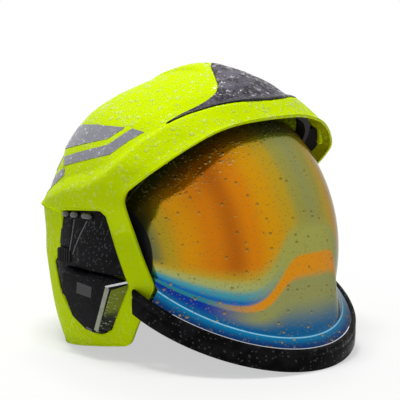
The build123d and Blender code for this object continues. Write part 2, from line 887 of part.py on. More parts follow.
# Liner: fills the shell outside the head, and keeps inside the space that the visors sweep
with BuildPart() as sweep_space:
    with BuildSketch(spin_plane(sweep_low_angle)):
        with Locations((0, shell_rear_reach)):
            Rectangle(2 * side_reach, 2 * shell_rear_reach)
        Ellipse(sweep_half_width, sweep_radius, mode=Mode.SUBTRACT)
    revolve(axis=pivot_axis, revolution_arc=-sweep_arc)
with BuildPart() as side_sweep_space:
    with BuildSketch(spin_plane(sweep_low_angle)):
        with Locations((0, shell_rear_reach)):
            Rectangle(2 * side_reach, 2 * shell_rear_reach)
            Rectangle(2 * sweep_side_x, 2 * shell_rear_reach, mode=Mode.SUBTRACT)
        Ellipse(sweep_half_width, sweep_radius, mode=Mode.SUBTRACT)
    revolve(axis=pivot_axis, revolution_arc=-sweep_side_arc)
with BuildPart() as cavity:
    Sphere(1)
    scale(by=(cavity_half_width, cavity_half_length, cavity_height))
    with BuildSketch(Plane.XY):
        Ellipse(cavity_half_width, cavity_half_length)
    extrude(amount=-shell_height)
cavity_form = cavity.part.moved(Location((0, -head_forward, head_z)))
with BuildPart() as impact_liner:
    add(liner_form)
    add(sweep_space.part, mode=Mode.SUBTRACT)
    add(side_sweep_space.part, mode=Mode.SUBTRACT)
    add(cavity_form, mode=Mode.SUBTRACT)
    with BuildSketch(Plane.YZ):
        with BuildLine():
            Polyline(
                (-2 * shell_rear_reach, liner_side_z),
                (-liner_ear_forward, liner_side_z),
                (-liner_nape_forward, liner_rear_z),
                (2 * shell_rear_reach, liner_rear_z),
                (2 * shell_rear_reach, -overrun),
                (-2 * shell_rear_reach, -overrun),
                close=True,
            )
        make_face()
    extrude(amount=side_reach, both=True, mode=Mode.SUBTRACT)
impact_liner.part.label = "impact_liner"
export_step(impact_liner.part, "parts/impact_liner.step")


def head_plane(z):
    return Plane(origin=(0, -head_forward, z), x_dir=(1, 0, 0), z_dir=(0, 0, 1))


# Headband with a drop at the nape, and the crown cradle that stands on it
with BuildPart() as headband:
    with BuildSketch(head_plane(band_low_z)):
        Ellipse(band_half_width + band_thickness, band_half_length + band_thickness)
        Ellipse(band_half_width, band_half_length, mode=Mode.SUBTRACT)
    extrude(amount=band_top_z - band_low_z)
    with BuildSketch(head_plane(band_drop_z)):
        Ellipse(band_half_width + band_thickness, band_half_length + band_thickness)
        Ellipse(band_half_width, band_half_length, mode=Mode.SUBTRACT)
        with Locations((0, band_half_length)):
            Rectangle(2 * band_drop_half_width, band_half_length, mode=Mode.INTERSECT)
    extrude(amount=band_low_z - band_drop_z)
headband.part.label = "headband"
export_step(headband.part, "parts/headband.step")

with BuildPart() as cradle_inner:
    Sphere(1)
    scale(by=(
        cavity_half_width - cradle_gap - cradle_thickness,
        cavity_half_length - cradle_gap - cradle_thickness,
        cavity_height - cradle_gap - cradle_thickness,
    ))
cradle_cut = cradle_inner.part.moved(Location((0, -head_forward, head_z)))
with BuildPart() as cradle_outer:
    Sphere(1)
    scale(by=(
        cavity_half_width - cradle_gap,
        cavity_half_length - cradle_gap,
        cavity_height - cradle_gap,
    ))
cradle_add = cradle_outer.part.moved(Location((0, -head_forward, head_z)))
with BuildPart() as crown_cradle:
    add(cradle_add)
    add(cradle_cut, mode=Mode.SUBTRACT)
    with BuildSketch(head_plane(band_top_z + seat_gap)):
        Rectangle(2 * side_reach, cradle_strap_width)
        Rectangle(cradle_strap_width, 2 * shell_rear_reach)
        Circle(cradle_strap_width)
    extrude(amount=shell_height, mode=Mode.INTERSECT)
crown_cradle.part.label = "crown_cradle"
export_step(crown_cradle.part, "parts/crown_cradle.step")

# Brow and nape pads inside the headband
pad_outer = band_half_width - seat_gap
pad_outer_length = band_half_length - seat_gap
pads = (("brow_pad", -1, brow_pad_half_width), ("nape_pad", 1, nape_pad_half_width))
for name, end, half_width in pads:
    with BuildPart() as pad:
        with BuildSketch(head_plane(pad_low_z)):
            Ellipse(pad_outer, pad_outer_length)
            Ellipse(pad_outer - pad_thickness, pad_outer_length - pad_thickness, mode=Mode.SUBTRACT)
            with Locations((0, end * band_half_length)):
                Rectangle(2 * half_width, band_half_length * 2 - band_half_width, mode=Mode.INTERSECT)
        extrude(amount=pad_top_z - pad_low_z)
        fillet(pad.edges(), radius=pad_edge)
    pad.part.label = name
    export_step(pad.part, f"parts/{name}.step")

# Ratchet housing behind the nape drop, with a slot for the racks and a bore for the knob's shaft
band_rear_y = band_half_length + band_thickness - head_forward
housing_y = band_rear_y + slide_gap
housing_back_y = housing_y + ratchet_depth
rack_y = housing_y + ratchet_depth / 2
slot_height = 2 * (pinion_radius + tooth_depth + rack_height) + 2 * slide_gap
slot_depth = pinion_length + 2 * slide_gap
housing_plane = Plane(origin=(0, housing_y, ratchet_z), x_dir=(-1, 0, 0), z_dir=(0, 1, 0))
with BuildPart() as ratchet_housing:
    with BuildSketch(housing_plane):
        RectangleRounded(ratchet_width, ratchet_height, ratchet_edge)
    extrude(amount=ratchet_depth)
    with BuildSketch(housing_plane.offset((ratchet_depth - slot_depth) / 2)):
        Rectangle(ratchet_width, slot_height)
    extrude(amount=slot_depth, mode=Mode.SUBTRACT)
    with BuildSketch(housing_plane.offset(ratchet_depth / 2)):
        Circle(shaft_radius + running_gap)
    extrude(amount=ratchet_depth, mode=Mode.SUBTRACT)
ratchet_housing.part.label = "ratchet_housing"
export_step(ratchet_housing.part, "parts/ratchet_housing.step")

# Knob with its shaft and pinion, turning about a line that runs front to back
with BuildPart() as ratchet_knob:
    with BuildSketch(housing_plane.offset(ratchet_depth + seat_gap)):
        Circle(knob_radius)
        with PolarLocations(knob_radius, knob_grips):
            Circle(knob_grip_radius, mode=Mode.SUBTRACT)
    extrude(amount=knob_height)
    with BuildSketch(housing_plane.offset((ratchet_depth + pinion_length) / 2)):
        Circle(shaft_radius)
    extrude(amount=ratchet_depth / 2)
    with BuildSketch(housing_plane.offset((ratchet_depth - pinion_length) / 2)):
        Circle(pinion_radius - tooth_depth)
        with PolarLocations(pinion_radius - tooth_depth, pinion_teeth):
            Circle(tooth_depth)
    extrude(amount=pinion_length)
ratchet_knob.part.label = "ratchet_knob"
export_step(ratchet_knob.part, "parts/ratchet_knob.step")

# Size racks, one above and one below the pinion, that draw the band in
rack_edge = pinion_radius + rack_mesh_gap
for side, hand in sides:
    with BuildPart() as rack:
        with BuildSketch(housing_plane.offset((ratchet_depth - rack_thickness) / 2)):
            with Locations((-side * (rack_start + rack_length / 2), side * (rack_edge + rack_height / 2))):
                Rectangle(rack_length, rack_height)
            with Locations((-side * (rack_start + rack_length / 2), side * rack_edge)):
                with GridLocations(rack_tooth_pitch, 0, int(rack_length / rack_tooth_pitch) - 1, 1):
                    Circle(tooth_depth - seat_gap, mode=Mode.SUBTRACT)
        extrude(amount=rack_thickness)
    rack.part.label = f"size_rack_{hand}"
    export_step(rack.part, f"parts/size_rack_{hand}.step")

# Chin strap, a level loop in a plane that rises to the rear
strap_plane = Plane(
    origin=(0, -strap_front, strap_front_z),
    x_dir=(1, 0, 0),
    z_dir=(0, -math.sin(math.radians(strap_slope)), math.cos(math.radians(strap_slope))),
)
strap_run = strap_front - strap_rear_forward
tongue_start = socket_x - socket_length / 2 - seat_gap - tongue_length
strap_ends = {-1: tongue_start - seat_gap, 1: socket_x + socket_length / 2 + seat_gap}
for side, hand in sides:
    with BuildPart() as strap:
        with BuildSketch(strap_plane.offset(-strap_width / 2)):
            with BuildLine():
                FilletPolyline(
                    (strap_ends[side], 0),
                    (side * strap_corner_x, 0),
                    (side * strap_half_width, strap_front - strap_side_forward),
                    (side * strap_half_width, strap_run),
                    radius=strap_bend,
                )
            trace(line_width=strap_thickness)
        extrude(amount=strap_width)
    strap.part.label = f"chin_strap_{hand}"
    export_step(strap.part, f"parts/chin_strap_{hand}.step")

# Strap anchors between the strap ends and the shell, each with its rivet head
anchor_in = strap_run - strap_width / 2
anchor_y = -strap_front + anchor_in * math.cos(math.radians(strap_slope))
anchor_z = strap_front_z + anchor_in * math.sin(math.radians(strap_slope))
anchor_x = strap_half_width + strap_thickness / 2 + running_gap
with BuildPart() as strap_anchors:
    add(seal_form)
    with BuildSketch(Plane.YZ.offset(anchor_x)):
        with Locations((anchor_y, anchor_z)):
            Circle(anchor_radius)
    extrude(amount=side_reach, mode=Mode.INTERSECT)
    mirror(about=Plane.YZ)
strap_anchors.part.label = "strap_anchors"
export_step(strap_anchors.part, "parts/strap_anchors.step")

with BuildPart() as strap_rivets:
    for side, hand in sides:
        with BuildSketch(Plane.YZ.offset(side * (strap_half_width - strap_thickness / 2 - running_gap))):
            with Locations((anchor_y, anchor_z)):
                Circle(anchor_rivet_head)
        extrude(amount=-side * strap_thickness)
strap_rivets.part.label = "strap_rivets"
export_step(strap_rivets.part, "parts/strap_rivets.step")

# Buckle: socket on the left strap, tongue on the right one and a press button in the socket's front
socket_plane = Plane(
    origin=strap_plane.origin + Vector(socket_x, 0, 0), x_dir=(1, 0, 0), z_dir=strap_plane.z_dir
)
button_plane = Plane(
    origin=socket_plane.origin - socket_plane.y_dir * (socket_depth / 2),
    x_dir=(1, 0, 0),
    z_dir=socket_plane.y_dir * -1,
)
with BuildPart() as buckle_socket:
    with BuildSketch(socket_plane.offset(-socket_height / 2)):
        RectangleRounded(socket_length, socket_depth, socket_edge)
    extrude(amount=socket_height)
    with BuildSketch(socket_plane.offset(-tongue_width / 2 - seat_gap)):
        with Locations((-socket_length / 2, 0)):
            Rectangle(2 * (tongue_reach + seat_gap), tongue_plate + 2 * seat_gap)
    extrude(amount=tongue_width + 2 * seat_gap, mode=Mode.SUBTRACT)
    with BuildSketch(button_plane):
        Circle(button_radius + slide_gap)
    extrude(amount=-(button_height - button_proud + button_travel + slide_gap), mode=Mode.SUBTRACT)
buckle_socket.part.label = "buckle_socket"
export_step(buckle_socket.part, "parts/buckle_socket.step")

with BuildPart() as buckle_tongue:
    with BuildSketch(socket_plane.offset(-socket_height / 2 + socket_edge)):
        with Locations((-socket_length / 2 - seat_gap - tongue_length / 2, 0)):
            RectangleRounded(tongue_length, socket_depth - socket_edge, socket_edge)
    extrude(amount=socket_height - 2 * socket_edge)
    with BuildSketch(socket_plane.offset(-tongue_width / 2)):
        with Locations((-socket_length / 2 - seat_gap, 0)):
            Rectangle(2 * tongue_reach, tongue_plate)
    extrude(amount=tongue_width)
buckle_tongue.part.label = "buckle_tongue"
export_step(buckle_tongue.part, "parts/buckle_tongue.step")

with BuildPart() as buckle_button:
    with BuildSketch(button_plane.offset(button_proud)):
        Circle(button_radius)
    extrude(amount=-button_height)
    chamfer(buckle_button.faces().sort_by(Axis.Y)[0].edges(), length=button_proud / 2)
buckle_button.part.label = "buckle_button"
export_step(buckle_button.part, "parts/buckle_button.step")

# Soft chin pad that the right strap passes through
with BuildPart() as chin_pad:
    with BuildSketch(strap_plane.offset(-chin_pad_height / 2)):
        with Locations((chin_pad_x, 0)):
            RectangleRounded(chin_pad_length, chin_pad_thickness, chin_pad_edge)
    extrude(amount=chin_pad_height)
    fillet(chin_pad.edges().filter_by(GeomType.LINE, reverse=True), radius=pad_edge)
    with BuildSketch(strap_plane.offset(-strap_width / 2 - seat_gap)):
        with Locations((chin_pad_x, 0)):
            Rectangle(2 * chin_pad_length, strap_thickness + 2 * seat_gap)
    extrude(amount=strap_width + 2 * seat_gap, mode=Mode.SUBTRACT)
chin_pad.part.label = "chin_pad"
export_step(chin_pad.part, "parts/chin_pad.step")
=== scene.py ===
import math

import bmesh
import bpy
import numpy as np
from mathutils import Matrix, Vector, noise


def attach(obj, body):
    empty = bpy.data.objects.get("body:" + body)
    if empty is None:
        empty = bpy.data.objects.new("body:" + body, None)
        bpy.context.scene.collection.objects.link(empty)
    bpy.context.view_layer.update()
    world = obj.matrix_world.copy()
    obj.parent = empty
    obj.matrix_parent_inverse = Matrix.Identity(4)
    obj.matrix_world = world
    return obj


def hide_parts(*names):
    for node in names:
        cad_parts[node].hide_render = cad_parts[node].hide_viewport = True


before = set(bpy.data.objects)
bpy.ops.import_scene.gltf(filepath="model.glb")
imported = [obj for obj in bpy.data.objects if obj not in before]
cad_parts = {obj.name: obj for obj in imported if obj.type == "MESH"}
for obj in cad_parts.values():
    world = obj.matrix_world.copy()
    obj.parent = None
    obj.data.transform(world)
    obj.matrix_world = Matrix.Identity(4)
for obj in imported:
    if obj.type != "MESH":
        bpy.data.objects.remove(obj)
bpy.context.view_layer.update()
mm = 0.001
print("frame loaded")

# Shader sums: a Link is a socket that adds and multiplies, and a Paint is a material being mixed from them


class Link:
    def __init__(self, paint, socket):
        self.paint, self.socket = paint, socket

    def sum(self, operation, first, second):
        return self.paint.node("ShaderNodeMath", {"operation": operation}, {0: first, 1: second})

    def __add__(self, other):
        return self.sum("ADD", self, other)

    def __sub__(self, other):
        return self.sum("SUBTRACT", self, other)

    def __rsub__(self, other):
        return self.sum("SUBTRACT", other, self)

    def __mul__(self, other):
        return self.sum("MULTIPLY", self, other)

    def __truediv__(self, other):
        return self.sum("DIVIDE", self, other)

    def __pow__(self, other):
        return self.sum("POWER", self, other)

    def __abs__(self):
        return self.sum("ABSOLUTE", self, 0)

    __radd__, __rmul__ = __add__, __mul__

    def smaller(self, other):
        return self.sum("MINIMUM", self, other)

    def larger(self, other):
        return self.sum("MAXIMUM", self, other)

    def ease(self, low, high):
        values = {"Value": self, "From Min": low, "From Max": high}
        return self.paint.node("ShaderNodeMapRange", {"interpolation_type": "SMOOTHSTEP"}, values)


class Mixer:
    def __init__(self, tree):
        self.tree = tree

    def node(self, kind, settings=None, values=None, output=0):
        node = self.tree.nodes.new(kind)
        for key, value in (settings or {}).items():
            if key == "stops":
                ramp = node.color_ramp.elements
                while len(ramp) < len(value):
                    ramp.new(0.5)
                for element, (position, color) in zip(ramp, value):
                    element.position = position
                for element, (position, color) in zip(ramp, value):
                    element.color = (*color, 1)
            else:
                setattr(node, key, value)
        for key, value in (values or {}).items():
            if isinstance(value, Link):
                self.tree.links.new(value.socket, node.inputs[key])
            else:
                node.inputs[key].default_value = (*value, 1) if self.isColor(node, key, value) else value
        return Link(self, node.outputs[output])

    def isColor(self, node, key, value):
        return isinstance(value, tuple) and node.inputs[key].type == "RGBA"

    def seenWhite(self):
        # 1 where the camera, a reflection or clear plastic looks straight at the backdrop
        rays = ("Is Camera Ray", "Is Glossy Ray", "Is Transmission Ray")
        camera, glossy, through = (self.node("ShaderNodeLightPath", output=ray) for ray in rays)
        return camera.larger(glossy).larger(through)


class Paint(Mixer):
    def __init__(self, name, **constants):
        self.material = bpy.data.materials.new(name)
        self.material.use_nodes = True
        super().__init__(self.material.node_tree)
        self.shader = self.tree.nodes["Principled BSDF"]
        for socket, value in constants.items():
            self.put(socket, value)
        self.place = self.node("ShaderNodeTexCoord", output="Object")

    def put(self, socket, value):
        entry = self.shader.inputs[{
            "color": "Base Color",
            "roughness": "Roughness",
            "metallic": "Metallic",
            "coat": "Coat Weight",
            "coatRoughness": "Coat Roughness",
            "sheen": "Sheen Weight",
            "transmission": "Transmission Weight",
            "specular": "Specular IOR Level",
            "edgeTint": "Specular Tint",
            "ior": "IOR",
            "normal": "Normal",
        }[socket]]
        if isinstance(value, Link):
            self.tree.links.new(value.socket, entry)
        else:
            entry.default_value = (*value, 1) if isinstance(value, tuple) else value

    def height(self):
        return self.node("ShaderNodeSeparateXYZ", values={0: self.place}, output=2)

    def mapped(self, name):
        # Both numbers of the piece's own map
        spot = self.node("ShaderNodeUVMap", {"uv_map": name})
        return [self.node("ShaderNodeSeparateXYZ", values={0: spot}, output=side) for side in range(2)]

    def noise(self, scale, detail, roughness=0.5):
        values = {"Vector": self.place, "Scale": scale, "Detail": detail, "Roughness": roughness}
        return self.node("ShaderNodeTexNoise", values=values)

    def cells(self, scale, output="Distance", feature="F1"):
        values = {"Vector": self.place, "Scale": scale}
        return self.node("ShaderNodeTexVoronoi", {"feature": feature}, values, output)

    def mix(self, factor, first, second):
        return self.node("ShaderNodeMix", {"data_type": "RGBA"}, {0: factor, 6: first, 7: second}, 2)

    def ramp(self, factor, stops):
        ramp = self.node("ShaderNodeValToRGB", {"stops": stops}, {0: factor})
        ramp.socket.node.color_ramp.interpolation = "EASE"
        return ramp

    def bump(self, height, depth, strength, under=None):
        values = {"Height": height, "Distance": depth, "Strength": strength}
        if under:
            values["Normal"] = under
        return self.node("ShaderNodeBump", values=values)

    def beads(self, spacing, fullness):
        # Water drops: the height of each dome, and how far up it a point lies, from -1 at its foot to 1
        away = self.cells(1 / spacing)
        chance = self.node("ShaderNodeSeparateColor", values={0: self.cells(1 / spacing, "Color")})
        middle = self.cells(1 / spacing, "Position")
        lift = self.node("ShaderNodeVectorMath", {"operation": "SUBTRACT"}, {0: self.place, 1: middle})
        up = self.node("ShaderNodeSeparateXYZ", values={0: lift}, output=2)
        reach = 0.12 + 0.3 * chance
        wet = chance.ease(1 - fullness, 1 - fullness + 0.02)
        return wet * ((1 - (away / reach) ** 2).larger(0) ** 0.5) * reach, up / (reach * spacing)

    def rain(self, color, dropHighlight, dark, layers):
        # Lays drops over a colour with painted light: the dark colour is painted shade high on each drop,
        # where it bends the light away, and the bright one a painted highlight low on it, where it gathers
        # the light
        height = 0
        for spacing, fullness, share in layers:
            dome, up = self.beads(spacing, fullness)
            tone = self.mix(up.ease(-0.9, 0.7), dropHighlight, dark)
            color = self.mix(dome.ease(0.02, 0.09) * share, color, tone)
            height = dome * (spacing / (6 * mm)) + height
        return color, height

    def wetted(self, base, dropHighlight, dark, layers, coat, relief, under=None):
        # A wet surface: coat is how much clear coat it has when dry, and how much more on a drop; the two
        # drop colours are a painted highlight and painted shade
        color, drops = self.rain(base, dropHighlight, dark, layers)
        self.put("color", color)
        self.put("coat", coat[0] + drops.ease(0.02, 0.1) * coat[1])
        self.put("normal", self.bump(drops, relief[0] * mm, relief[1], under))


# Camera, lights and floor

view = dict(azimuth=-45, elevation=9, distance=1.6, targetHeight=0.133, lens=150.5, shift=0.01)
studio = dict(
    ambient=0.18,
    floorSize=6.0,
    floorTone=0.9,
    floorGlow=0.55,
    fadeStart=0.16,
    fadeEnd=0.42,
    lamps=[
        dict(name="keyLamp", azimuth=-75, elevation=80, distance=1.5, size=0.6, power=19.0, shines=False),
        dict(name="frontLamp", azimuth=15, elevation=30, distance=1.8, size=1.2, power=1.5, shines=False),
        dict(name="sideLamp", azimuth=-105, elevation=8, distance=1.8, size=1.2, power=1.3, shines=False),
        dict(name="backLamp", azimuth=150, elevation=45, distance=1.8, size=1.2, power=6.0, shines=False),
        dict(name="sparkLamp", azimuth=135, elevation=66, distance=1.5, size=0.35, power=3.0, shines=True),
    ],
)


def lookFrom(azimuth, elevation):
    turn, rise = math.radians(azimuth), math.radians(elevation)
    return Vector((math.sin(turn) * math.cos(rise), -math.cos(turn) * math.cos(rise), math.sin(rise)))


def addCamera():
    back = lookFrom(view["azimuth"], view["elevation"])
    camera = bpy.data.objects.new("camera", bpy.data.cameras.new("camera"))
    camera.location = Vector((0, 0, view["targetHeight"])) + back * view["distance"]
    camera.rotation_euler = back.to_track_quat("Z", "Y").to_euler()
    camera.data.lens = view["lens"]
    camera.data.sensor_width = 36
    camera.data.shift_y = view["shift"]
    bpy.context.scene.collection.objects.link(camera)
    bpy.context.scene.camera = camera


def addLamps():
    # Round area lamps that look at the helmet's middle
    middle = Vector((0, 0, view["targetHeight"]))
    for lamp in studio["lamps"]:
        light = bpy.data.lights.new(lamp["name"], "AREA")
        light.shape = "DISK"
        light.size = lamp["size"]
        light.energy = lamp["power"]
        back = lookFrom(lamp["azimuth"], lamp["elevation"])
        holder = bpy.data.objects.new(lamp["name"], light)
        holder.location = middle + back * lamp["distance"]
        holder.rotation_euler = back.to_track_quat("Z", "Y").to_euler()
        holder.visible_glossy = lamp["shines"]
        bpy.context.scene.collection.objects.link(holder)


def addWorld():
    world = bpy.data.worlds.new("studio")
    world.use_nodes = True
    sky = Mixer(world.node_tree)
    shade = sky.tree.nodes["Background"]
    shade.inputs["Color"].default_value = (1, 1, 1, 1)
    values = {"Value": sky.seenWhite(), "To Min": studio["ambient"], "To Max": 1.0}
    sky.tree.links.new(sky.node("ShaderNodeMapRange", values=values).socket, shade.inputs["Strength"])
    bpy.context.scene.world = world


def addFloor():
    # Pale, and as white as the backdrop away from the helmet
    half, tone = studio["floorSize"] / 2, studio["floorTone"]
    corners = [(-half, -half, 0), (half, -half, 0), (half, half, 0), (-half, half, 0)]
    mesh = bpy.data.meshes.new("floor")
    mesh.from_pydata(corners, [], [(0, 1, 2, 3)])
    floor = bpy.data.objects.new("floor", mesh)
    bpy.context.scene.collection.objects.link(floor)
    paint = Paint("floorPale", color=(tone, tone, tone), roughness=0.9, specular=0.0)
    reach = paint.node("ShaderNodeVectorMath", {"operation": "LENGTH"}, {0: paint.place}, "Value")
    values = {
        "Value": reach,
        "From Min": studio["fadeStart"],
        "From Max": studio["fadeEnd"],
        "To Min": studio["floorGlow"],
    }
    fade = paint.node("ShaderNodeMapRange", {"interpolation_type": "SMOOTHSTEP"}, values)
    shade, glow = Link(paint, paint.shader.outputs[0]), paint.node("ShaderNodeEmission")
    blend = paint.node("ShaderNodeMixShader", values={"Fac": fade * paint.seenWhite(), 1: shade, 2: glow})
    paint.tree.links.new(blend.socket, paint.tree.nodes["Material Output"].inputs["Surface"])
    mesh.materials.append(paint.material)


bpy.context.scene.view_settings.view_transform = "Standard"
addCamera()
addLamps()
addWorld()
addFloor()
print("studio ready")


# Mesh helpers: points are numpy arrays of (across, forward, height), and forward is -Y


def toFrame(points):
    points = np.asarray(points, float)
    return np.stack([points[..., 0], -points[..., 1], points[..., 2]], axis=-1)


def addMesh(name, points, faces, smooth=True):
    mesh = bpy.data.meshes.new(name)
    mesh.from_pydata(toFrame(points).reshape(-1, 3).tolist(), [], faces)
    mesh.validate()
    mesh.shade_smooth() if smooth else mesh.shade_flat()
    piece = bpy.data.objects.new(name, mesh)
    bpy.context.scene.collection.objects.link(piece)
    return piece


def gridFaces(rows, columns, start=0, wrap=False, flip=False):
    faces = []
    for row in range(rows - 1):
        for column in range(columns if wrap else columns - 1):
            after = (column + 1) % columns
            near, far = start + row * columns, start + (row + 1) * columns
            face = (near + column, near + after, far + after, far + column)
            faces.append(face[::-1] if flip else face)
    return faces


def cappedFaces(rows, columns):
    # Faces of a closed bar: a ring of points in each row, with a flat end at both ends
    last = (rows - 1) * columns
    ends = [tuple(range(columns)), tuple(range(last, last + columns))]
    return gridFaces(rows, columns, wrap=True) + ends


def ringFaces(rows, columns):
    # Faces of a ring: the last row joins the first
    total = rows * columns
    return [tuple(number % total for number in face) for face in gridFaces(rows + 1, columns, wrap=True)]


def faceOut(piece, merge=1e-6):
    work = bmesh.new()
    work.from_mesh(piece.data)
    bmesh.ops.remove_doubles(work, verts=work.verts, dist=merge)
    bmesh.ops.recalc_face_normals(work, faces=work.faces)
    work.to_mesh(piece.data)
    work.free()


def sharpen(piece, angle):
    piece.data.set_sharp_from_angle(angle=math.radians(angle))


def closedForm(name, points, faces, angle=None):
    piece = addMesh(name, points, faces)
    faceOut(piece)
    if angle:
        sharpen(piece, angle)
    return piece


def addMap(piece, name, columns, spotsOf):
    # A map on a grid of points: spotsOf gives its two numbers at a row and column
    marks = piece.data.uv_layers.new(name=name)
    number = np.zeros(len(piece.data.loops), int)
    piece.data.loops.foreach_get("vertex_index", number)
    marks.data.foreach_set("uv", np.column_stack(spotsOf(*np.divmod(number, columns))).ravel())


def prism(name, outer, inner):
    # A flat plate between two outlines with the same number of points
    count = len(outer)
    faces = [tuple(range(count)), tuple(range(2 * count - 1, count - 1, -1))]
    faces += [(i, i + count, (i + 1) % count + count, (i + 1) % count) for i in range(count)]
    piece = addMesh(name, np.concatenate([outer, inner]), faces, smooth=False)
    faceOut(piece)
    return piece


def settled(piece):
    # Turns the modifiers' result into the piece's own mesh
    bpy.context.view_layer.update()
    graph = bpy.context.evaluated_depsgraph_get()
    mesh = bpy.data.meshes.new_from_object(piece.evaluated_get(graph))
    mesh.name = piece.name
    piece.modifiers.clear()
    piece.data = mesh


def softEdges(piece, width, segments, angle=30, smooth=None):
    # Rounds the edges that turn by more than the angle, and shades the piece smooth between sharper ones
    soften = piece.modifiers.new("soften", "BEVEL")
    soften.width = width
    soften.segments = segments
    soften.limit_method = "ANGLE"
    soften.angle_limit = math.radians(angle)
    settled(piece)
    if smooth:
        piece.data.shade_smooth()
        sharpen(piece, smooth)


def unit(vectors):
    return vectors / np.linalg.norm(vectors, axis=-1, keepdims=True)


def walkedAlong(line):
    # The distance walked to each point of a line
    return np.concatenate([[0], np.cumsum(np.linalg.norm(np.diff(line, axis=0), axis=1))])


hands = dict(Left=1, Right=-1)


def dress(piece, paint, body, slot, *nodes):
    piece.data.materials.clear()
    piece.data.materials.append(paint.material)
    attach(piece, body)
    if nodes:
        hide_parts(*nodes)


def rounded(corners, radii, closed=False, step=3):
    # Side outline with its corners rounded, as a dense list of (forward, height)
    corners = [np.array(corner, float) for corner in corners]
    outline = []
    count = len(corners)
    for index, corner in enumerate(corners):
        if not closed and index in (0, count - 1):
            outline.append(corner)
            continue
        before, after = corners[index - 1], corners[(index + 1) % count]
        back, ahead = before - corner, after - corner
        back, ahead = unit(back), unit(ahead)
        half = math.acos(np.clip(np.dot(back, ahead), -1, 1)) / 2
        radius = radii[index] if isinstance(radii, (list, tuple)) else radii
        away = radius / math.tan(half)
        middle = corner + unit(back + ahead) * radius / math.sin(half)
        first, last = corner + back * away - middle, corner + ahead * away - middle
        turn = math.atan2(first[0] * last[1] - first[1] * last[0], np.dot(first, last))
        for share in np.linspace(0, 1, max(3, int(abs(math.degrees(turn)) / step))):
            angle = turn * share
            outline.append(middle + np.array([
                first[0] * math.cos(angle) - first[1] * math.sin(angle),
                first[0] * math.sin(angle) + first[1] * math.cos(angle),
            ]))
    if closed:
        outline.append(outline[0])
    return np.array(outline)


def spread(points, count):
    # The same line with its points evenly apart
    points = np.asarray(points, float)
    along = walkedAlong(points)
    places = np.linspace(0, along[-1], count)
    return np.stack([np.interp(places, along, points[:, axis]) for axis in range(points.shape[1])], axis=1)


def curved(points, count):
    # A smooth line through the points, evenly spaced
    points = np.asarray(points, float)
    along = walkedAlong(points)
    slopes = np.gradient(points, along, axis=0)
    places = np.linspace(0, along[-1], count * 4)
    spans = np.clip(np.searchsorted(along, places, side="right") - 1, 0, len(along) - 2)
    width = (along[spans + 1] - along[spans])[:, None]
    share = (places - along[spans])[:, None] / width
    first, last = points[spans], points[spans + 1]
    line = (
        (2 * share**3 - 3 * share**2 + 1) * first
        + (share**3 - 2 * share**2 + share) * width * slopes[spans]
        + (3 * share**2 - 2 * share**3) * last
        + (share**3 - share**2) * width * slopes[spans + 1]
    )
    return spread(line, count)


def isInside(points, outline):
    inside = np.zeros(len(points), bool)
    for (firstX, firstY), (lastX, lastY) in zip(outline, np.roll(outline, -1, axis=0)):
        crosses = (firstY > points[:, 1]) != (lastY > points[:, 1])
        if firstY != lastY:
            reach = (lastX - firstX) * (points[:, 1] - firstY) / (lastY - firstY) + firstX
            inside ^= crosses & (points[:, 0] < reach)
    return inside


def ease(value, low, high):
    share = np.clip((value - low) / (high - low), 0, 1)
    return share * share * (3 - 2 * share)


# Shell: the same levels as the CAD shell, as shares of height, half width, front reach and rear reach

shell = dict(
    height=266 * mm,
    halfWidth=121 * mm,
    front=124 * mm,
    rear=160 * mm,
    wall=4 * mm,
    power=2.35,
    rows=196,
    columns=340,
    windowRadius=5 * mm,
    edgeCorner=1.0 * mm,
    rimProud=0.25 * mm,
    rimWidth=2.2 * mm,
    rimOver=0.3 * mm,
    windowProud=0.15 * mm,
    windowWidth=1.6 * mm,
    windowOver=0.2 * mm,
)
levelShares = np.array([
    (0.0, 0.934, 0.766, 0.81),
    (0.113, 0.967, 0.823, 0.90),
    (0.263, 0.992, 0.871, 0.97),
    (0.414, 1.0, 0.911, 1.0),
    (0.564, 0.975, 0.96, 0.95),
    (0.695, 0.893, 1.0, 0.844),
    (0.797, 0.76, 0.952, 0.731),
    (0.872, 0.579, 0.782, 0.569),
    (0.929, 0.393, 0.597, 0.363),
    (0.966, 0.24, 0.419, 0.213),
    (0.989, 0.13, 0.25, 0.098),
    (1.0, 0.05, 0.13, 0.0),
    (1.001, 0.0, 0.065, -0.0504),
])
levelSizes = levelShares * [shell["height"], shell["halfWidth"], shell["front"], shell["rear"]]
levelLine = curved(levelSizes, 1200)
shellPower = shell["power"]


def levelAt(height):
    wide, front, rear = (np.interp(height, levelLine[:, 0], levelLine[:, side]) for side in (1, 2, 3))
    return np.maximum(wide, 1e-6), (front - rear) / 2, np.maximum((front + rear) / 2, 1e-6)


def outside(points):
    wide, middle, reach = levelAt(points[..., 2])
    across = np.abs(points[..., 0] / wide) ** shellPower
    return (across + np.abs((points[..., 1] - middle) / reach) ** shellPower) ** (1 / shellPower) - 1


def shellNormal(points, step=0.4 * mm):
    shifts = np.eye(3) * step
    slopes = np.stack([outside(points + shift) - outside(points - shift) for shift in shifts], axis=-1)
    return slopes / np.maximum(np.linalg.norm(slopes, axis=-1, keepdims=True), 1e-12)


def acrossAt(forward, height):
    wide, middle, reach = levelAt(height)
    share = 1 - np.abs((forward - middle) / reach) ** shellPower
    return wide * np.maximum(share, 0) ** (1 / shellPower)


def sidePoints(shares):
    return [(forward * shell["rear"], height * shell["height"]) for forward, height in shares]


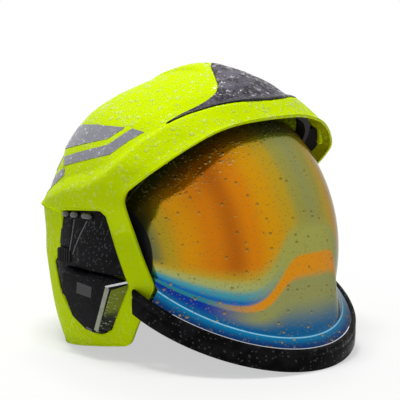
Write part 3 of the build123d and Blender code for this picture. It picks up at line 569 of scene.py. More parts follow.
# Side outlines as shares of the shell's rear reach and height
openingShares = [(0.94, 0.90), (0.575, 0.842), (0.081, 0.602), (0.291, 0.278), (0.12, 0.068), (-0.606, 0.0)]
openingRadii = [0, 60 * mm, 14 * mm, 7 * mm, 10 * mm, 0]
windowShares = [
    (-0.425, 0.504),
    (-0.05, 0.534),
    (0.0, 0.515),
    (0.161, 0.274),
    (0.017, 0.105),
    (-0.0875, 0.079),
    (-0.3125, 0.113),
    (-0.50, 0.205),
    (-0.545, 0.308),
    (-0.47, 0.346),
]
openingLine = rounded(sidePoints(openingShares), openingRadii)
windowLine = rounded(sidePoints(windowShares), shell["windowRadius"], closed=True)


def sideLoop(line, count=20000):
    # A side outline laid on the shell's near half
    dense = spread(line, count)
    wide, middle, reach = levelAt(dense[:, 1])
    dense = dense[np.abs((dense[:, 0] - middle) / reach) < 1]
    return np.column_stack([acrossAt(dense[:, 0], dense[:, 1]), dense])


def openingLoop():
    # Round the whole lower edge: brow, ears and nape, starting at the middle of the brow
    side = sideLoop(openingLine)
    side = side[side[:, 2] >= 0]
    side[0, 0] = 0
    nearEnd = side[-1]
    _, middle, reach = levelAt(0.0)
    start = math.acos(np.clip((nearEnd[1] - middle) / -reach, -1, 1) ** (shellPower / 2))
    turns = np.linspace(start, 0, 400)
    wide = levelAt(0.0)[0]
    nape = np.column_stack([
        wide * np.sin(turns) ** (2 / shellPower),
        middle - reach * np.cos(turns) ** (2 / shellPower),
        np.zeros(len(turns)),
    ])
    half = np.concatenate([side, nape[1:]])
    other = half[::-1][1:-1] * [-1, 1, 1]
    return np.concatenate([half, other, half[:1]])


# Relief on the shell: ridge lines as (across, forward, height) in millimetres

relief = dict(
    ridge=[
        (0, 92, 237), (35, 83, 236), (62, 66, 230), (81, 48, 219), (91, 38, 211), (99, 24, 202),
        (106, 11, 188), (112, -6, 171), (115, -27, 159), (112, -66, 149), (106, -87, 142), (89, -119, 132),
        (50, -146, 124), (0, -156, 121),
    ],
    ridgeHeight=5.6,
    ridgeAbove=14,
    ridgeBelow=36,
    browAway=[-34, -19, 0, 9, 26],
    browRise=[-1.6, -1.6, 5.0, -2.0, 0],
    browRuns=(0.02, 0.2),
    sideRuns=(0.36, 0.5),
    rearFades=(0.78, 0.95),
    stepLine=[(60, -118, 200), (77, -107, 186), (102, -77, 168), (113, -66, 147), (116, -68, 132)],
    stepDepth=2.2,
    stepLow=(128, 134),
    stepHigh=(190, 206),
    lipLine=[(113, -62, 130), (107, -85, 131), (92, -114, 129), (60, -141, 124), (0, -155, 118)],
    lipDepth=3.2,
    foldHeight=84,
    flare=13.5,
    cornerFlare=11,
    flareAcross=(38, 78),
    crestFront=26,
    crestRear=-62,
    crestWidth=17,
    crestHeight=2.2,
)


def lineDistance(points, line):
    # Distance to a line in space, and the side of it: above is positive
    best = np.full(len(points), 1e9)
    above = np.zeros(len(points))
    along = np.zeros(len(points))
    line = np.array(line) * mm
    walked = 0.0
    for first, last in zip(line, line[1:]):
        run = last - first
        length = np.linalg.norm(run)
        share = np.clip((points - first) @ run / length**2, 0, 1)
        gap = points - (first + share[:, None] * run)
        away = np.linalg.norm(gap, axis=1)
        nearer = away < best
        best = np.where(nearer, away, best)
        above = np.where(nearer, gap @ upAcross(first, run), above)
        along = np.where(nearer, walked + share * length, along)
        walked += length
    return best * np.sign(above), along / walked


def upAcross(point, run):
    # The direction on the surface that is square to a line and points up
    side = unit(np.cross(shellNormal(np.array([point + run / 2]))[0], run))
    return side if side[2] + 0.3 * side[1] > 0 else -side


def reliefAt(points):
    # How far the shell stands out at each point: creases, the step behind them, the nape's fold and the crest
    points = np.column_stack([np.abs(points[:, 0]), points[:, 1:]])
    across, forward, height = (points[:, axis] / mm for axis in range(3))
    away, along = lineDistance(points, relief["ridge"])
    away = away / mm
    above = np.clip(1 - away / relief["ridgeAbove"], 0, 1)
    below = np.clip(1 + away / relief["ridgeBelow"], 0, 1) ** 1.6
    fade = 1 - 0.75 * ease(along, *relief["rearFades"])
    side = np.where(away > 0, above, below) * relief["ridgeHeight"] * fade
    brow = np.interp(away, relief["browAway"], relief["browRise"])
    brow *= 0.3 + 0.7 * ease(along, *relief["browRuns"])
    rise = brow + (side - brow) * ease(along, *relief["sideRuns"])
    behind = ease(-forward - stepForward(points[:, 2]), -1.2, 1.2)
    stepZone = ease(height, *relief["stepLow"]) * (1 - ease(height, *relief["stepHigh"]))
    rise -= relief["stepDepth"] * behind * stepZone
    lipAway, lipAlong = lineDistance(points, relief["lipLine"])
    below = ease(-lipAway / mm, -0.5, 3.5) * (1 - ease(forward, -74, -62))
    foldShare = 0.45 + 0.55 * ease(height, relief["foldHeight"] - 2, relief["foldHeight"] + 26)
    lowFade = ease(height, 10, 70)
    rise -= relief["lipDepth"] * below * foldShare * lowFade * (1 - 0.8 * ease(lipAlong, 0.6, 0.95))
    crestAlong = ease(forward, relief["crestRear"], relief["crestRear"] + 30)
    crestAlong *= 1 - ease(forward, relief["crestFront"] - 24, relief["crestFront"])
    crestAcross = 1 - ease(across, relief["crestWidth"] - 3, relief["crestWidth"] + 3)
    rise += relief["crestHeight"] * crestAlong * crestAcross * ease(height, 225, 245)
    return rise * mm


def flared(points):
    # The brow's corners stand out sideways and forwards
    across, ahead, height = (points[..., axis] / mm for axis in range(3))
    sideways = ease(abs(across), *relief["flareAcross"])
    amount = sideways * ease(ahead, -60, 34) * ease(height, 112, 168)
    corner = sideways * ease(ahead, -60, 20) * ease(height, 118, 155) * (1 - ease(height, 180, 212))
    shift = relief["flare"] * amount * (1 - ease(height, 200, 245)) + relief["cornerFlare"] * corner
    return points + np.stack([np.sign(across) * shift, shift, shift * 0], axis=-1) * mm / math.sqrt(2)


def stepForward(height):
    line = np.array(relief["stepLine"])[::-1]
    return np.interp(height / mm, line[:, 2], -line[:, 1])


def shellGrid():
    walked = walkedAlong(levelLine[:, [0, 3]])
    heights = np.interp(np.linspace(0, walked[-1], shell["rows"]), walked, levelLine[:, 0])
    turns = 2 * math.pi * np.arange(shell["columns"]) / shell["columns"]
    wide, middle, reach = levelAt(heights)
    power = 2 / shellPower
    across = np.sign(np.cos(turns)) * np.abs(np.cos(turns)) ** power
    ahead = np.sign(np.sin(turns)) * np.abs(np.sin(turns)) ** power
    points = np.zeros((len(heights), len(turns), 3))
    points[..., 0] = wide[:, None] * across
    points[..., 1] = middle[:, None] + reach[:, None] * ahead
    points[..., 2] = heights[:, None]
    return points


def makeShell():
    grid = shellGrid()
    rows, columns = grid.shape[:2]
    points = grid.reshape(-1, 3)
    faces = np.array(gridFaces(rows, columns, wrap=True))
    centres = points[faces].mean(axis=1)
    reach = 3 * shell["rear"]
    front = [(openingLine[-1][0], -reach), (reach, -reach), (reach, openingLine[0][1])]
    cut = isInside(centres[:, 1:], np.concatenate([openingLine, front]))
    cut |= isInside(centres[:, 1:], windowLine)
    kept, gone = faces[~cut], faces[cut]
    edgePoints = np.intersect1d(kept.ravel(), gone.ravel())
    curve = spread(openingLoop(), 4000)
    window = spread(sideLoop(windowLine), 1500)
    curve = np.concatenate([curve, window, window * [-1, 1, 1]])
    for index in edgePoints:
        points[index] = curve[np.argmin(np.sum((curve - points[index]) ** 2, axis=1))]
    used = np.unique(kept)
    number = np.zeros(len(points), int)
    number[used] = np.arange(len(used))
    kept = number[kept]
    base = points[used]
    normals = shellNormal(base)
    outer = base + normals * reliefAt(base)[:, None]
    inner = base - normals * shell["wall"]
    edges = {}
    for face in kept:
        edges.update(dict.fromkeys(zip(face, np.roll(face, -1))))
    shift = len(base)
    rims = [(last, first, first + shift, last + shift) for first, last in edges if (last, first) not in edges]
    solid = [tuple(face) for face in kept.tolist()]
    solid += [tuple(face[::-1]) for face in (kept + shift).tolist()]
    piece = addMesh("outerShell", flared(np.concatenate([outer, inner])), solid + rims)
    faceOut(piece, 0.02 * mm)
    sharpen(piece, 50)
    return piece


def edgeBand(name, loop, count, proud, width, over):
    # A rounded edge along a cut in the shell
    line = spread(loop, count + 1)[:-1]
    along = unit(np.roll(line, -1, axis=0) - np.roll(line, 1, axis=0))
    out = shellNormal(line)
    inward = unit(np.cross(along, out))
    relieved = reliefAt(line)
    profile = []
    wall, corner = shell["wall"], shell["edgeCorner"]
    top, low = proud, -wall - proud
    for centreIn, centreUp, start, squash in (
        (over - corner, top - corner, 90, 1.0),
        (over - corner, low + corner, 0, 1.0),
        (-width + corner, low + corner, -90, 1.0),
        (-width + corner, top - corner * 0.4, -180, 0.4),
    ):
        for turn in np.radians(np.linspace(start, start - 90, 4)):
            profile.append((
                centreIn + corner * math.cos(turn),
                centreUp + corner * squash * math.sin(turn),
            ))
    rings = []
    for side, up in profile:
        lift = up + relieved * (1 if up > -wall / 2 else 0)
        rings.append(line + inward * side + out * lift[:, None])
    points = flared(np.stack(rings, axis=0))
    points[..., 2] = np.maximum(points[..., 2], 0)
    return closedForm(name, points, ringFaces(len(profile), count))


# Finishes

fluorescent = (0.60, 0.80, 0.0)


def shellYellow():
    paint = Paint("shellYellow", specular=0.0, coatRoughness=0.05)
    fine = paint.noise(900, 2)
    broad = paint.noise(22, 3)
    height = paint.height()
    wet = height.ease(0.10, 0.24) * 0.75 + 0.25
    base = paint.mix(broad * 0.5, fluorescent, tuple(tone * 0.86 for tone in fluorescent))
    layers = [(7.0 * mm, 0.35, 0.45), (4.2 * mm, 0.5, 0.45), (2.3 * mm, 0.5, 0.35)]
    # Drops with a painted highlight (0.80, 0.96, 0.16) low on each and painted shade (0.42, 0.58, 0.0) high
    # on each
    rained, drops = paint.rain(base, (0.80, 0.96, 0.16), (0.42, 0.58, 0.0), layers)
    paint.put("color", paint.mix(wet, base, rained))
    paint.put("coat", 0.05 + drops.ease(0.02, 0.1) * wet * 0.8)
    paint.put("roughness", 0.34 + fine * 0.06)
    grain = paint.bump(fine, 0.05 * mm, 0.3)
    paint.put("normal", paint.bump(drops * wet, 2.2 * mm, 0.9, grain))
    return paint


def makeShellPieces(paint):
    body = makeShell()
    dress(body, paint, "shell", "shell_yellow", "outer_shell")
    rim = edgeBand("shellRim", openingLoop(), 900, shell["rimProud"], shell["rimWidth"], shell["rimOver"])
    dress(rim, paint, "shell", "shell_yellow", "outer_shell")
    edge = shell["windowProud"], shell["windowWidth"], shell["windowOver"]
    for hand, side in hands.items():
        rim = edgeBand(f"windowRim{hand}", sideLoop(windowLine) * [side, 1, 1], 300, *edge)
        dress(rim, paint, "shell", "shell_yellow", "outer_shell")
    print("shell made")


shellPaint = shellYellow()
makeShellPieces(shellPaint)


# Face shield: the CAD shield's own shape with more points, coloured by its rows with painted reflection

shield = dict(
    pivotForward=0.0,
    pivotHeight=98 * mm,
    radius=148 * mm,
    halfWidth=108 * mm,
    wall=2.5 * mm,
    topAngle=63,
    topEndAngle=88,
    sideAngle=-19.5,
    noseAngle=3.0,
    endAngle=73,
    brimEndAngle=83,
    noseHalfWidth=40 * mm,
    nosePower=6,
    brimWidth=8 * mm,
    brimRise=9 * mm,
    lipGap=0.3 * mm,
    columns=200,
)
lip = dict(
    front=160 * mm,
    halfWidth=118.5 * mm,
    rear=38 * mm,
    height=19 * mm,
    topSlope=0.41,
    lowSlope=0.38,
    thickness=4.5 * mm,
    endAngle=93,
)


def lipPlan(turn, inset):
    wide, reach = lip["halfWidth"] - inset, lip["front"] - inset - lip["rear"]
    across, forward = wide * np.sin(turn), lip["rear"] + reach * np.cos(turn)
    outAcross, outForward = np.sin(turn) / wide, np.cos(turn) / reach
    length = np.hypot(outAcross, outForward)
    return across, forward, outAcross / length, outForward / length


def shieldPoint(column, row, inset):
    # Row 0 is the top edge, 1 the foot of the bubble, 2 the foot of the skirt and 3 the brim's outer edge
    turn = np.radians(shield["endAngle"]) * column
    across = (shield["halfWidth"] - inset) * np.sin(turn)
    radius = (shield["radius"] - inset) * np.cos(turn)
    nose = 1 / (1 + (np.abs(across) / shield["noseHalfWidth"]) ** shield["nosePower"])
    high, highEnd = np.radians(shield["topAngle"]), np.radians(shield["topEndAngle"])
    endRadius = shield["radius"] * math.cos(math.radians(shield["endAngle"]))
    run = shield["radius"] * math.cos(high) - endRadius * math.cos(highEnd)
    rise = shield["radius"] * math.sin(high) - endRadius * math.sin(highEnd)
    tilt = math.atan2(rise, run)
    top = tilt + np.arcsin(shield["radius"] * math.sin(high - tilt) / radius)
    low = np.radians(shield["sideAngle"] + (shield["noseAngle"] - shield["sideAngle"]) * nose)
    angle = top + (low - top) * min(row, 1)
    forward = shield["pivotForward"] + radius * np.cos(angle)
    height = shield["pivotHeight"] + radius * np.sin(angle)
    if row <= 1:
        return np.stack([across, forward, height], axis=-1)
    edge = lipPlan(np.radians(shield["brimEndAngle"]) * column, lip["thickness"] + shield["lipGap"] + inset)
    edgeHeight = lip["height"] + lip["topSlope"] * (lip["front"] - edge[1])
    brimAcross = edge[0] - shield["brimWidth"] * edge[2]
    brimForward = edge[1] - shield["brimWidth"] * edge[3]
    if row <= 2:
        down = row - 1
        flare = nose * (1 - (1 - down) ** 4) + (1 - nose) * down**1.3
        return np.stack([
            across + (brimAcross - across) * flare,
            forward + (brimForward - forward) * flare,
            height + (edgeHeight + shield["brimRise"] - height) * down,
        ], axis=-1)
    out = row - 2
    return np.stack([
        brimAcross + (edge[0] - brimAcross) * out,
        brimForward + (edge[1] - brimForward) * out,
        edgeHeight + shield["brimRise"] * (1 - out),
    ], axis=-1)


def makeShield():
    columns = np.linspace(-1, 1, shield["columns"] + 1)
    rows = np.concatenate([np.linspace(0, 1, 65), np.linspace(1, 2, 57)[1:], np.linspace(2, 3, 9)[1:]])
    outer = np.stack([shieldPoint(columns, row, 0) for row in rows])
    inner = np.stack([shieldPoint(columns, row, shield["wall"]) for row in rows])
    count = len(columns)
    loop = np.concatenate([outer, inner[:, ::-1]], axis=1)
    faces = gridFaces(len(rows), 2 * count, wrap=True)
    for row in (0, len(rows) - 1):
        start = row * 2 * count
        faces += [
            (start + place, start + place + 1, start + 2 * count - 2 - place, start + 2 * count - 1 - place)
            for place in range(count - 1)
        ]
    piece = addMesh("faceShield", loop, faces)

    def spotsOf(row, place):
        place = np.where(place < count, place, 2 * count - 1 - place)
        return columns[place] * 0.5 + 0.5, rows[row] / 3

    addMap(piece, "shieldMap", 2 * count, spotsOf)
    faceOut(piece)
    sharpen(piece, 50)
    return piece


def shieldGold():
    # A mirror coat whose colour is painted reflection: it changes across the bubble and down its rows, as one
    # reflection would show it
    paint = Paint(
        "shieldGold", metallic=0.7, roughness=0.14, coat=0.05, coatRoughness=0.04, specular=0.3,
        edgeTint=(0.42, 0.45, 0.40),
    )
    column, rowShare = paint.mapped("shieldMap")
    row = rowShare * 3
    side = abs(column * 2 - 1)
    wave = paint.noise(12, 2) - 0.5
    across = paint.ramp(side + wave * 0.06 + (row - 0.5) * 0.04, [
        (0.0, (0.25, 0.26, 0.08)),
        (0.11, (0.29, 0.27, 0.05)),
        (0.2, (0.46, 0.29, 0.01)),
        (0.33, (0.60, 0.27, 0.0)),
        (0.445, (0.62, 0.19, 0.0)),
        (0.55, (0.43, 0.11, 0.0)),
        (0.655, (0.58, 0.17, 0.0)),
        (0.8, (0.60, 0.25, 0.0)),
        (0.91, (0.40, 0.27, 0.01)),
        (1.0, (0.14, 0.15, 0.05)),
    ])
    # Painted shade and a painted reflection of the dark brow underside along the top rows, fading down the
    # rows
    shade = paint.mix((row + wave * 0.1 - side * 0.1).ease(-0.02, 0.16), (0.10, 0.11, 0.012), across)
    lows = paint.ramp(row, [
        (0.84, (0.47, 0.33, 0.02)),
        (0.90, (0.36, 0.40, 0.13)),
        (0.95, (0.05, 0.30, 0.38)),
        (0.99, (0.0, 0.12, 0.42)),
    ])
    lows = paint.mix(1 - side.ease(0.22, 0.5), lows, (0.33, 0.33, 0.07))
    bubble = paint.mix(row.ease(0.78, 0.88), shade, lows)
    nose = 1 - side.ease(0.34, 0.72)
    ribbon = paint.mix(nose, (0.02, 0.20, 0.26), (0.66, 0.25, 0.004))
    face = paint.mix(nose, (0.0, 0.03, 0.28), (0.27, 0.28, 0.09))
    skirt = paint.mix((row + wave * 0.1).ease(1.2, 1.32), ribbon, face)
    skirt = paint.mix(row.ease(1.5, 1.95), skirt, (0.0, 0.10, 0.26))
    brim = paint.mix(row.ease(2.1, 2.9), (0.0, 0.17, 0.36), (0.0, 0.03, 0.14))
    # A painted highlight: a light line along the brim
    brim = paint.mix(1 - abs(row - 2.08).ease(0.02, 0.08), brim, (0.25, 0.55, 0.75))
    below = paint.mix(row.ease(1.96, 2.04), skirt, brim)
    color = paint.mix(row.ease(0.985, 1.015), bubble, below)
    # A painted highlight along the top edge
    color = paint.mix(1 - row.ease(0.008, 0.018), color, (0.50, 0.50, 0.36))
    top = (1 - row.ease(0.16, 0.36)) * row.ease(0.02, 0.06)
    # Big drops near the top and fewer elsewhere, each with a painted highlight and painted shade
    layers = [(4.2 * mm, 0.75, 0.85), (2.6 * mm, 0.75, 0.8)]
    big, drops = paint.rain(color, (0.74, 0.60, 0.22), (0.02, 0.015, 0.0), layers)
    layers = [(4.4 * mm, 0.10, 0.6), (1.9 * mm, 0.3, 0.5)]
    few, mist = paint.rain(color, (0.5, 0.34, 0.06), (0.05, 0.03, 0.0), layers)
    paint.put("color", paint.mix(top, few, big))
    paint.put("normal", paint.bump(drops * top + mist * (1 - top), 1.0 * mm, 0.6))
    return paint


def makeLip():
    # Its section: how far in from the plan, the share of its height, and a shift up, in millimetres
    turns = np.radians(np.linspace(-lip["endAngle"], lip["endAngle"], 221))
    thick = lip["thickness"] / mm
    profile = [
        (0.9, 0, 0.0), (0.25, 0, 0.35), (0.0, 0, 1.1), (-0.25, 0.35, 0), (-0.2, 0.66, -0.6),
        (0.35, 0.68, -0.3), (0.35, 0.7, 0.3), (-0.1, 0.72, 0.6), (-0.35, 0.86, 0), (-0.3, 1, -1.5),
        (0.1, 1, -0.5), (0.9, 1, 0.1), (2.2, 1, 0.35), (thick - 1.2, 1, 0.2), (thick - 0.3, 1, -0.2),
        (thick, 1, -1.0), (thick, 0.5, 0), (thick, 0, 1.0), (thick - 0.4, 0, 0.2), (thick - 1.2, 0, 0.0),
    ]
    rings = []
    for inset, share, shift in profile:
        across, forward, _, _ = lipPlan(turns, inset * mm)
        low = lip["lowSlope"] * (lip["front"] - forward)
        high = lip["height"] + lip["topSlope"] * (lip["front"] - forward)
        rings.append(np.column_stack([across, forward, low + share * (high - low) + shift * mm]))
    return closedForm("chinLip", np.stack(rings, axis=1), cappedFaces(len(turns), len(profile)), 40)


def lipBlack():
    paint = Paint("lipBlack", specular=0.03, coatRoughness=0.08)
    grain = paint.noise(1300, 3, 0.7)
    patches = paint.noise(70, 3).ease(0.42, 0.62)
    base = paint.mix(patches, (0.001, 0.001, 0.001), (0.007, 0.007, 0.008))
    paint.put("roughness", 0.3 + patches * 0.25)
    # Drops with a painted highlight and painted shade
    paint.wetted(
        base, (0.04, 0.04, 0.045), (0.001, 0.001, 0.001), [(2.6 * mm, 0.3, 0.45)],
        coat=(0.02, 0.6), relief=(1.2, 0.8), under=paint.bump(grain, 0.15 * mm, 0.6),
    )
    return paint


dress(makeShield(), shieldGold(), "shield", "shield_gold", "face_shield")
dress(makeLip(), lipBlack(), "shield", "lip_black", "chin_lip")
print("shield and lip made")

# Badge: a dark crumpled plate on the brow, its edges as (across, forward) in millimetres

badge = dict(
    rearEdge=[
        (0, 15), (6, 20), (14, 31), (22, 42), (31, 53.5), (39, 58.5), (47, 58.5), (59, 53.5), (70, 45),
        (81, 37),
    ],
    frontEdge=[(0, 89.5), (18, 87.5), (35, 80.5), (48, 73.5), (58, 66.5), (67.6, 58.8), (75, 49.5), (81, 37)],
    halfWidth=80.8,
    bevel=3.6 * mm,
    rise=2.3 * mm,
    sink=0.8 * mm,
    corner=2.0 * mm,
    crumple=0.5 * mm,
    tip=88 * mm,
    folds=95,
    foldSeed=3.0,
    columns=221,
    rows=60,
)


def heightAt(across, forward):
    low, high = np.full(across.shape, 0.15), np.full(across.shape, 0.2664)
    for _ in range(36):
        middle = (low + high) / 2
        out = outside(np.stack([across, forward, middle], axis=-1)) > 0
        low, high = np.where(out, low, middle), np.where(out, middle, high)
    return (low + high) / 2


def lifted(points, lift):
    flat = points.reshape(-1, 3)
    rise = reliefAt(flat.copy()).reshape(points.shape[:-1]) + lift
    return flared(points + shellNormal(points) * rise[..., None])


def slab(name, outer, inner):
    # A closed plate between two grids of the same size
    rows, columns = outer.shape[:2]
    count = rows * columns
    faces = gridFaces(rows, columns) + gridFaces(rows, columns, start=count, flip=True)
    numbers = np.arange(count).reshape(rows, columns)
    border = np.concatenate([numbers[0], numbers[1:, -1], numbers[-1, -2::-1], numbers[-2:0:-1, 0]]).tolist()
    sides = zip(border, border[1:] + border[:1])
    faces += [(last, first, first + count, last + count) for first, last in sides]
    piece = addMesh(name, np.concatenate([outer.reshape(-1, 3), inner.reshape(-1, 3)]), faces)
    faceOut(piece, 0.01 * mm)
    sharpen(piece, 50)
    return piece


def creased(points, scale, seed):
    # Folded paper: the height of sharp random ridges, broad and fine
    spots = (points * scale + seed).reshape(-1, 3)
    broad = np.array([abs(noise.noise(Vector(spot))) for spot in spots])
    fine = np.array([abs(noise.noise(Vector(spot * 2.3 + 7))) for spot in spots])
    return (1 - 2.2 * broad - 0.8 * fine).reshape(points.shape[:-1])


def makeBadge():
    half = np.linspace(0, 1, badge["columns"] // 2 + 1) * badge["halfWidth"]
    across = np.concatenate([-half[:0:-1], half]) * mm
    rear, front = (
        np.interp(abs(across) / mm, curve[:, 0], curve[:, 1]) * mm
        for curve in (curved(badge["rearEdge"], 200), curved(badge["frontEdge"], 200))
    )
    share = (1 - np.cos(np.linspace(0, math.pi, badge["rows"]))) / 2
    forward = rear[None, :] + (front - rear)[None, :] * share[:, None]
    across = np.broadcast_to(across, forward.shape)
    base = np.stack([across, forward, heightAt(across, forward)], axis=-1)
    fromEdge = np.minimum(share, 1 - share)[:, None] * (front - rear)[None, :]
    fromEdge = np.minimum(fromEdge, (badge["tip"] - abs(across)) * 0.5)
    crown = np.sqrt(1 - (1 - np.clip(fromEdge / badge["corner"], 0, 1)) ** 2)
    inside = ease(fromEdge, 2 * mm, 7 * mm)
    folds = creased(base, badge["folds"], badge["foldSeed"]) * badge["crumple"] * inside
    outer = lifted(base, badge["rise"] * (0.25 + 0.75 * crown) + folds)
    piece = slab("crownBadge", outer, lifted(base, np.full(forward.shape, -badge["sink"])))
    marks = piece.data.attributes.new("edgeShare", "FLOAT", "POINT")
    spots = np.array([vertex.co[:] for vertex in piece.data.vertices])
    frontLine = np.interp(abs(spots[:, 0]) / mm, *curved(badge["frontEdge"], 200).T) * mm
    marks.data.foreach_set("value", np.clip((frontLine + spots[:, 1]) / badge["bevel"], 0, 2))
    return piece


def badgeGrey():
    paint = Paint("badgeGrey", specular=0.15, coatRoughness=0.1)
    folds = paint.noise(110, 4, 0.6)
    grain = paint.noise(1400, 3, 0.7)
    # The colour follows the fold noise that also makes the bump: painted shade in the fold hollows and a
    # painted highlight on the crests
    base = paint.mix(folds.ease(0.4, 0.6), (0.010, 0.009, 0.014), (0.095, 0.082, 0.115))
    base = paint.mix(grain.ease(0.3, 0.75) * 0.5, base, (0.035, 0.032, 0.042))
    layers = [(6.0 * mm, 0.3, 0.7), (3.0 * mm, 0.4, 0.5)]
    # Drops with a painted highlight and painted shade
    color, drops = paint.rain(base, (0.5, 0.48, 0.52), (0.006, 0.006, 0.008), layers)
    edge = paint.node("ShaderNodeAttribute", {"attribute_name": "edgeShare"}, output="Fac")
    front = 1 - edge.ease(0.8, 1.1)
    paint.put("color", paint.mix(front, color, (0.008, 0.008, 0.010)))
    paint.put("coat", 0.04 + drops.ease(0.02, 0.1) * 0.7 + front * 0.15)
    paint.put("roughness", 0.45 - folds * 0.2 - front * 0.15)
    rough = paint.bump(folds, 2.2 * mm, 0.8, paint.bump(grain, 0.25 * mm, 0.8))
    paint.put("normal", paint.bump(drops, 1.6 * mm, 0.8, rough))
    return paint


dress(makeBadge(), badgeGrey(), "shell", "badge_grey", "crown_badge")
print("badge made")


# Reflective sheet: bands between a top and a low edge, as (forward, height) in millimetres seen from the side

sheet = dict(
    lift=0.45 * mm,
    sink=0.5 * mm,
    rows=9,
    columns=90,
    sides=dict(
        Upper=(
            [(-100, 204), (-80, 209), (-52, 212), (-28, 213), (-7, 214)],
            [(-107, 183), (-62, 193), (-21, 203), (-7, 213)],
        ),
        Lower=(
            [(-88, 179), (-50, 189), (-18, 198), (4, 214)],
            [(-80, 172), (-45, 181), (-11, 191), (5, 204), (19, 213)],
        ),
        Rear=([(-84, 171), (-100, 162), (-124, 148)], [(-79, 164), (-98, 153), (-124, 138)]),
    ),
    backTop=[(-80, 186), (-52, 181), (0, 176), (52, 181), (80, 186)],
    backLow=[(-85, 163), (-52, 157), (0, 151), (52, 157), (85, 163)],
)


def between(top, low):
    share = np.linspace(0, 1, sheet["rows"])[:, None, None]
    top, low = spread(top, sheet["columns"]) * mm, spread(low, sheet["columns"]) * mm
    return top[None] * (1 - share) + low[None] * share


def bandPiece(name, base):
    return slab(name, lifted(base, sheet["lift"]), lifted(base, -sheet["sink"]))


def reflectiveGrey():
    paint = Paint("reflectiveGrey", specular=0.4, roughness=0.4, coatRoughness=0.08)
    dots = paint.cells(900)
    broad = paint.noise(60, 3)
    base = paint.mix(broad, (0.20, 0.20, 0.235), (0.29, 0.29, 0.33))
    base = paint.mix(dots.ease(0.25, 0.5) * 0.5, base, (0.14, 0.14, 0.17))
    # Drops with a painted highlight and painted shade
    paint.wetted(
        base, (0.85, 0.86, 0.9), (0.14, 0.14, 0.17), [(5.0 * mm, 0.3, 0.7), (2.6 * mm, 0.4, 0.5)],
        coat=(0.08, 0.8), relief=(1.6, 0.8), under=paint.bump(dots, 0.1 * mm, 0.4),
    )
    return paint


def makeSheets():
    paint = reflectiveGrey()
    for hand, side in hands.items():
        for name, (top, low) in sheet["sides"].items():
            flat = between(top, low)
            across = acrossAt(flat[..., 0], flat[..., 1]) * side
            piece = bandPiece(f"sheet{name}{hand}", np.dstack([across, flat]))
            dress(piece, paint, "shell", "reflective_grey", f"reflective_strips_{hand.lower()}")
    flat = between(sheet["backTop"], sheet["backLow"])
    wide, middle, reach = levelAt(flat[..., 1])
    behind = middle - reach * (1 - abs(flat[..., 0] / wide) ** shellPower) ** (1 / shellPower)
    piece = bandPiece("sheetBack", np.stack([flat[..., 0], behind, flat[..., 1]], axis=-1))
    dress(piece, paint, "shell", "reflective_grey", "reflective_strip_rear")
    print("reflective sheet made")


makeSheets()

# Plain finishes: one fine grain gives the colour between dark and light, the roughness and the relief

plainFinishes = dict(
    rubberBlack=dict(
        grain=(700, 3, 0.6), dark=(0.006, 0.006, 0.007), light=(0.016, 0.016, 0.017),
        rough=(0.62, 0.2), relief=(0.15, 0.4), specular=0.25,
    ),
    nylonBlack=dict(
        grain=(900, 3, 0.6), dark=(0.010, 0.010, 0.011), light=(0.022, 0.022, 0.024),
        rough=(0.42, 0.16), relief=(0.1, 0.4), specular=0.35,
    ),
    steelPin=dict(
        grain=(420, 4, 0.7), dark=(0.42, 0.43, 0.45), light=(0.58, 0.59, 0.61),
        rough=(0.22, 0.2), relief=(0.03, 0.4), metallic=1.0,
    ),
    bezelSilver=dict(
        grain=(500, 3), dark=(0.35, 0.36, 0.37), light=(0.72, 0.73, 0.75),
        rough=(0.18, 0.2), relief=(0.2, 0.5), metallic=1.0,
    ),
    reflectorChrome=dict(
        grain=(300, 2), dark=(0.10, 0.11, 0.10), light=(0.42, 0.44, 0.42),
        rough=(0.12, 0.15), relief=(0.05, 0.3), metallic=1.0,
    ),
    batteryGrey=dict(
        grain=(160, 3), dark=(0.06, 0.06, 0.07), light=(0.11, 0.11, 0.12),
        rough=(0.35, 0.15), relief=(0.2, 0.4), specular=0.4,
    ),
    bandBlack=dict(
        grain=(1100, 2, 0.6), dark=(0.012, 0.012, 0.014), light=(0.026, 0.026, 0.028),
        rough=(0.38, 0.15), relief=(0.08, 0.4), specular=0.4,
    ),
    ocularClear=dict(
        grain=(30, 3), dark=(0.80, 0.85, 0.86), light=(0.88, 0.92, 0.93),
        rough=(0.03, 0.05), relief=(0.3, 0.2), transmission=0.95, ior=1.5,
    ),
    buttonRed=dict(
        grain=(800, 2), dark=(0.42, 0.025, 0.015), light=(0.58, 0.04, 0.025),
        rough=(0.3, 0.15), relief=(0.05, 0.4), specular=0.5,
    ),
    glossBlack=dict(
        grain=(1500, 2, 0.7), dark=(0.006, 0.006, 0.008), light=(0.02, 0.02, 0.024),
        rough=(0.22, 0.1), relief=(0.06, 0.4), specular=0.5, coat=0.6, coatRoughness=0.05,
    ),
    labelBlack=dict(
        grain=(500, 3, 0.6), dark=(0.010, 0.010, 0.012), light=(0.03, 0.03, 0.034),
        rough=(0.3, 0.15), relief=(0.05, 0.4), specular=0.4,
    ),
    threadGrey=dict(
        grain=(2600, 2), dark=(0.12, 0.12, 0.125), light=(0.26, 0.26, 0.27),
        rough=(0.6, 0.2), relief=(0.1, 0.6), specular=0.2, sheen=0.2,
    ),
)


def plainPaint(name):
    finish = dict(plainFinishes[name])
    dark, light, (smoothest, rougher) = finish.pop("dark"), finish.pop("light"), finish.pop("rough")
    (depth, strength), grain = finish.pop("relief"), finish.pop("grain")
    paint = Paint(name, **finish)
    fine = paint.noise(*grain)
    paint.put("color", paint.mix(fine, dark, light))
    paint.put("roughness", smoothest + fine * rougher)
    paint.put("normal", paint.bump(fine, depth * mm, strength))
    return paint


# Finishes with more in them: rain with painted light on its drops, painted reflections, traces, cells and
# wear


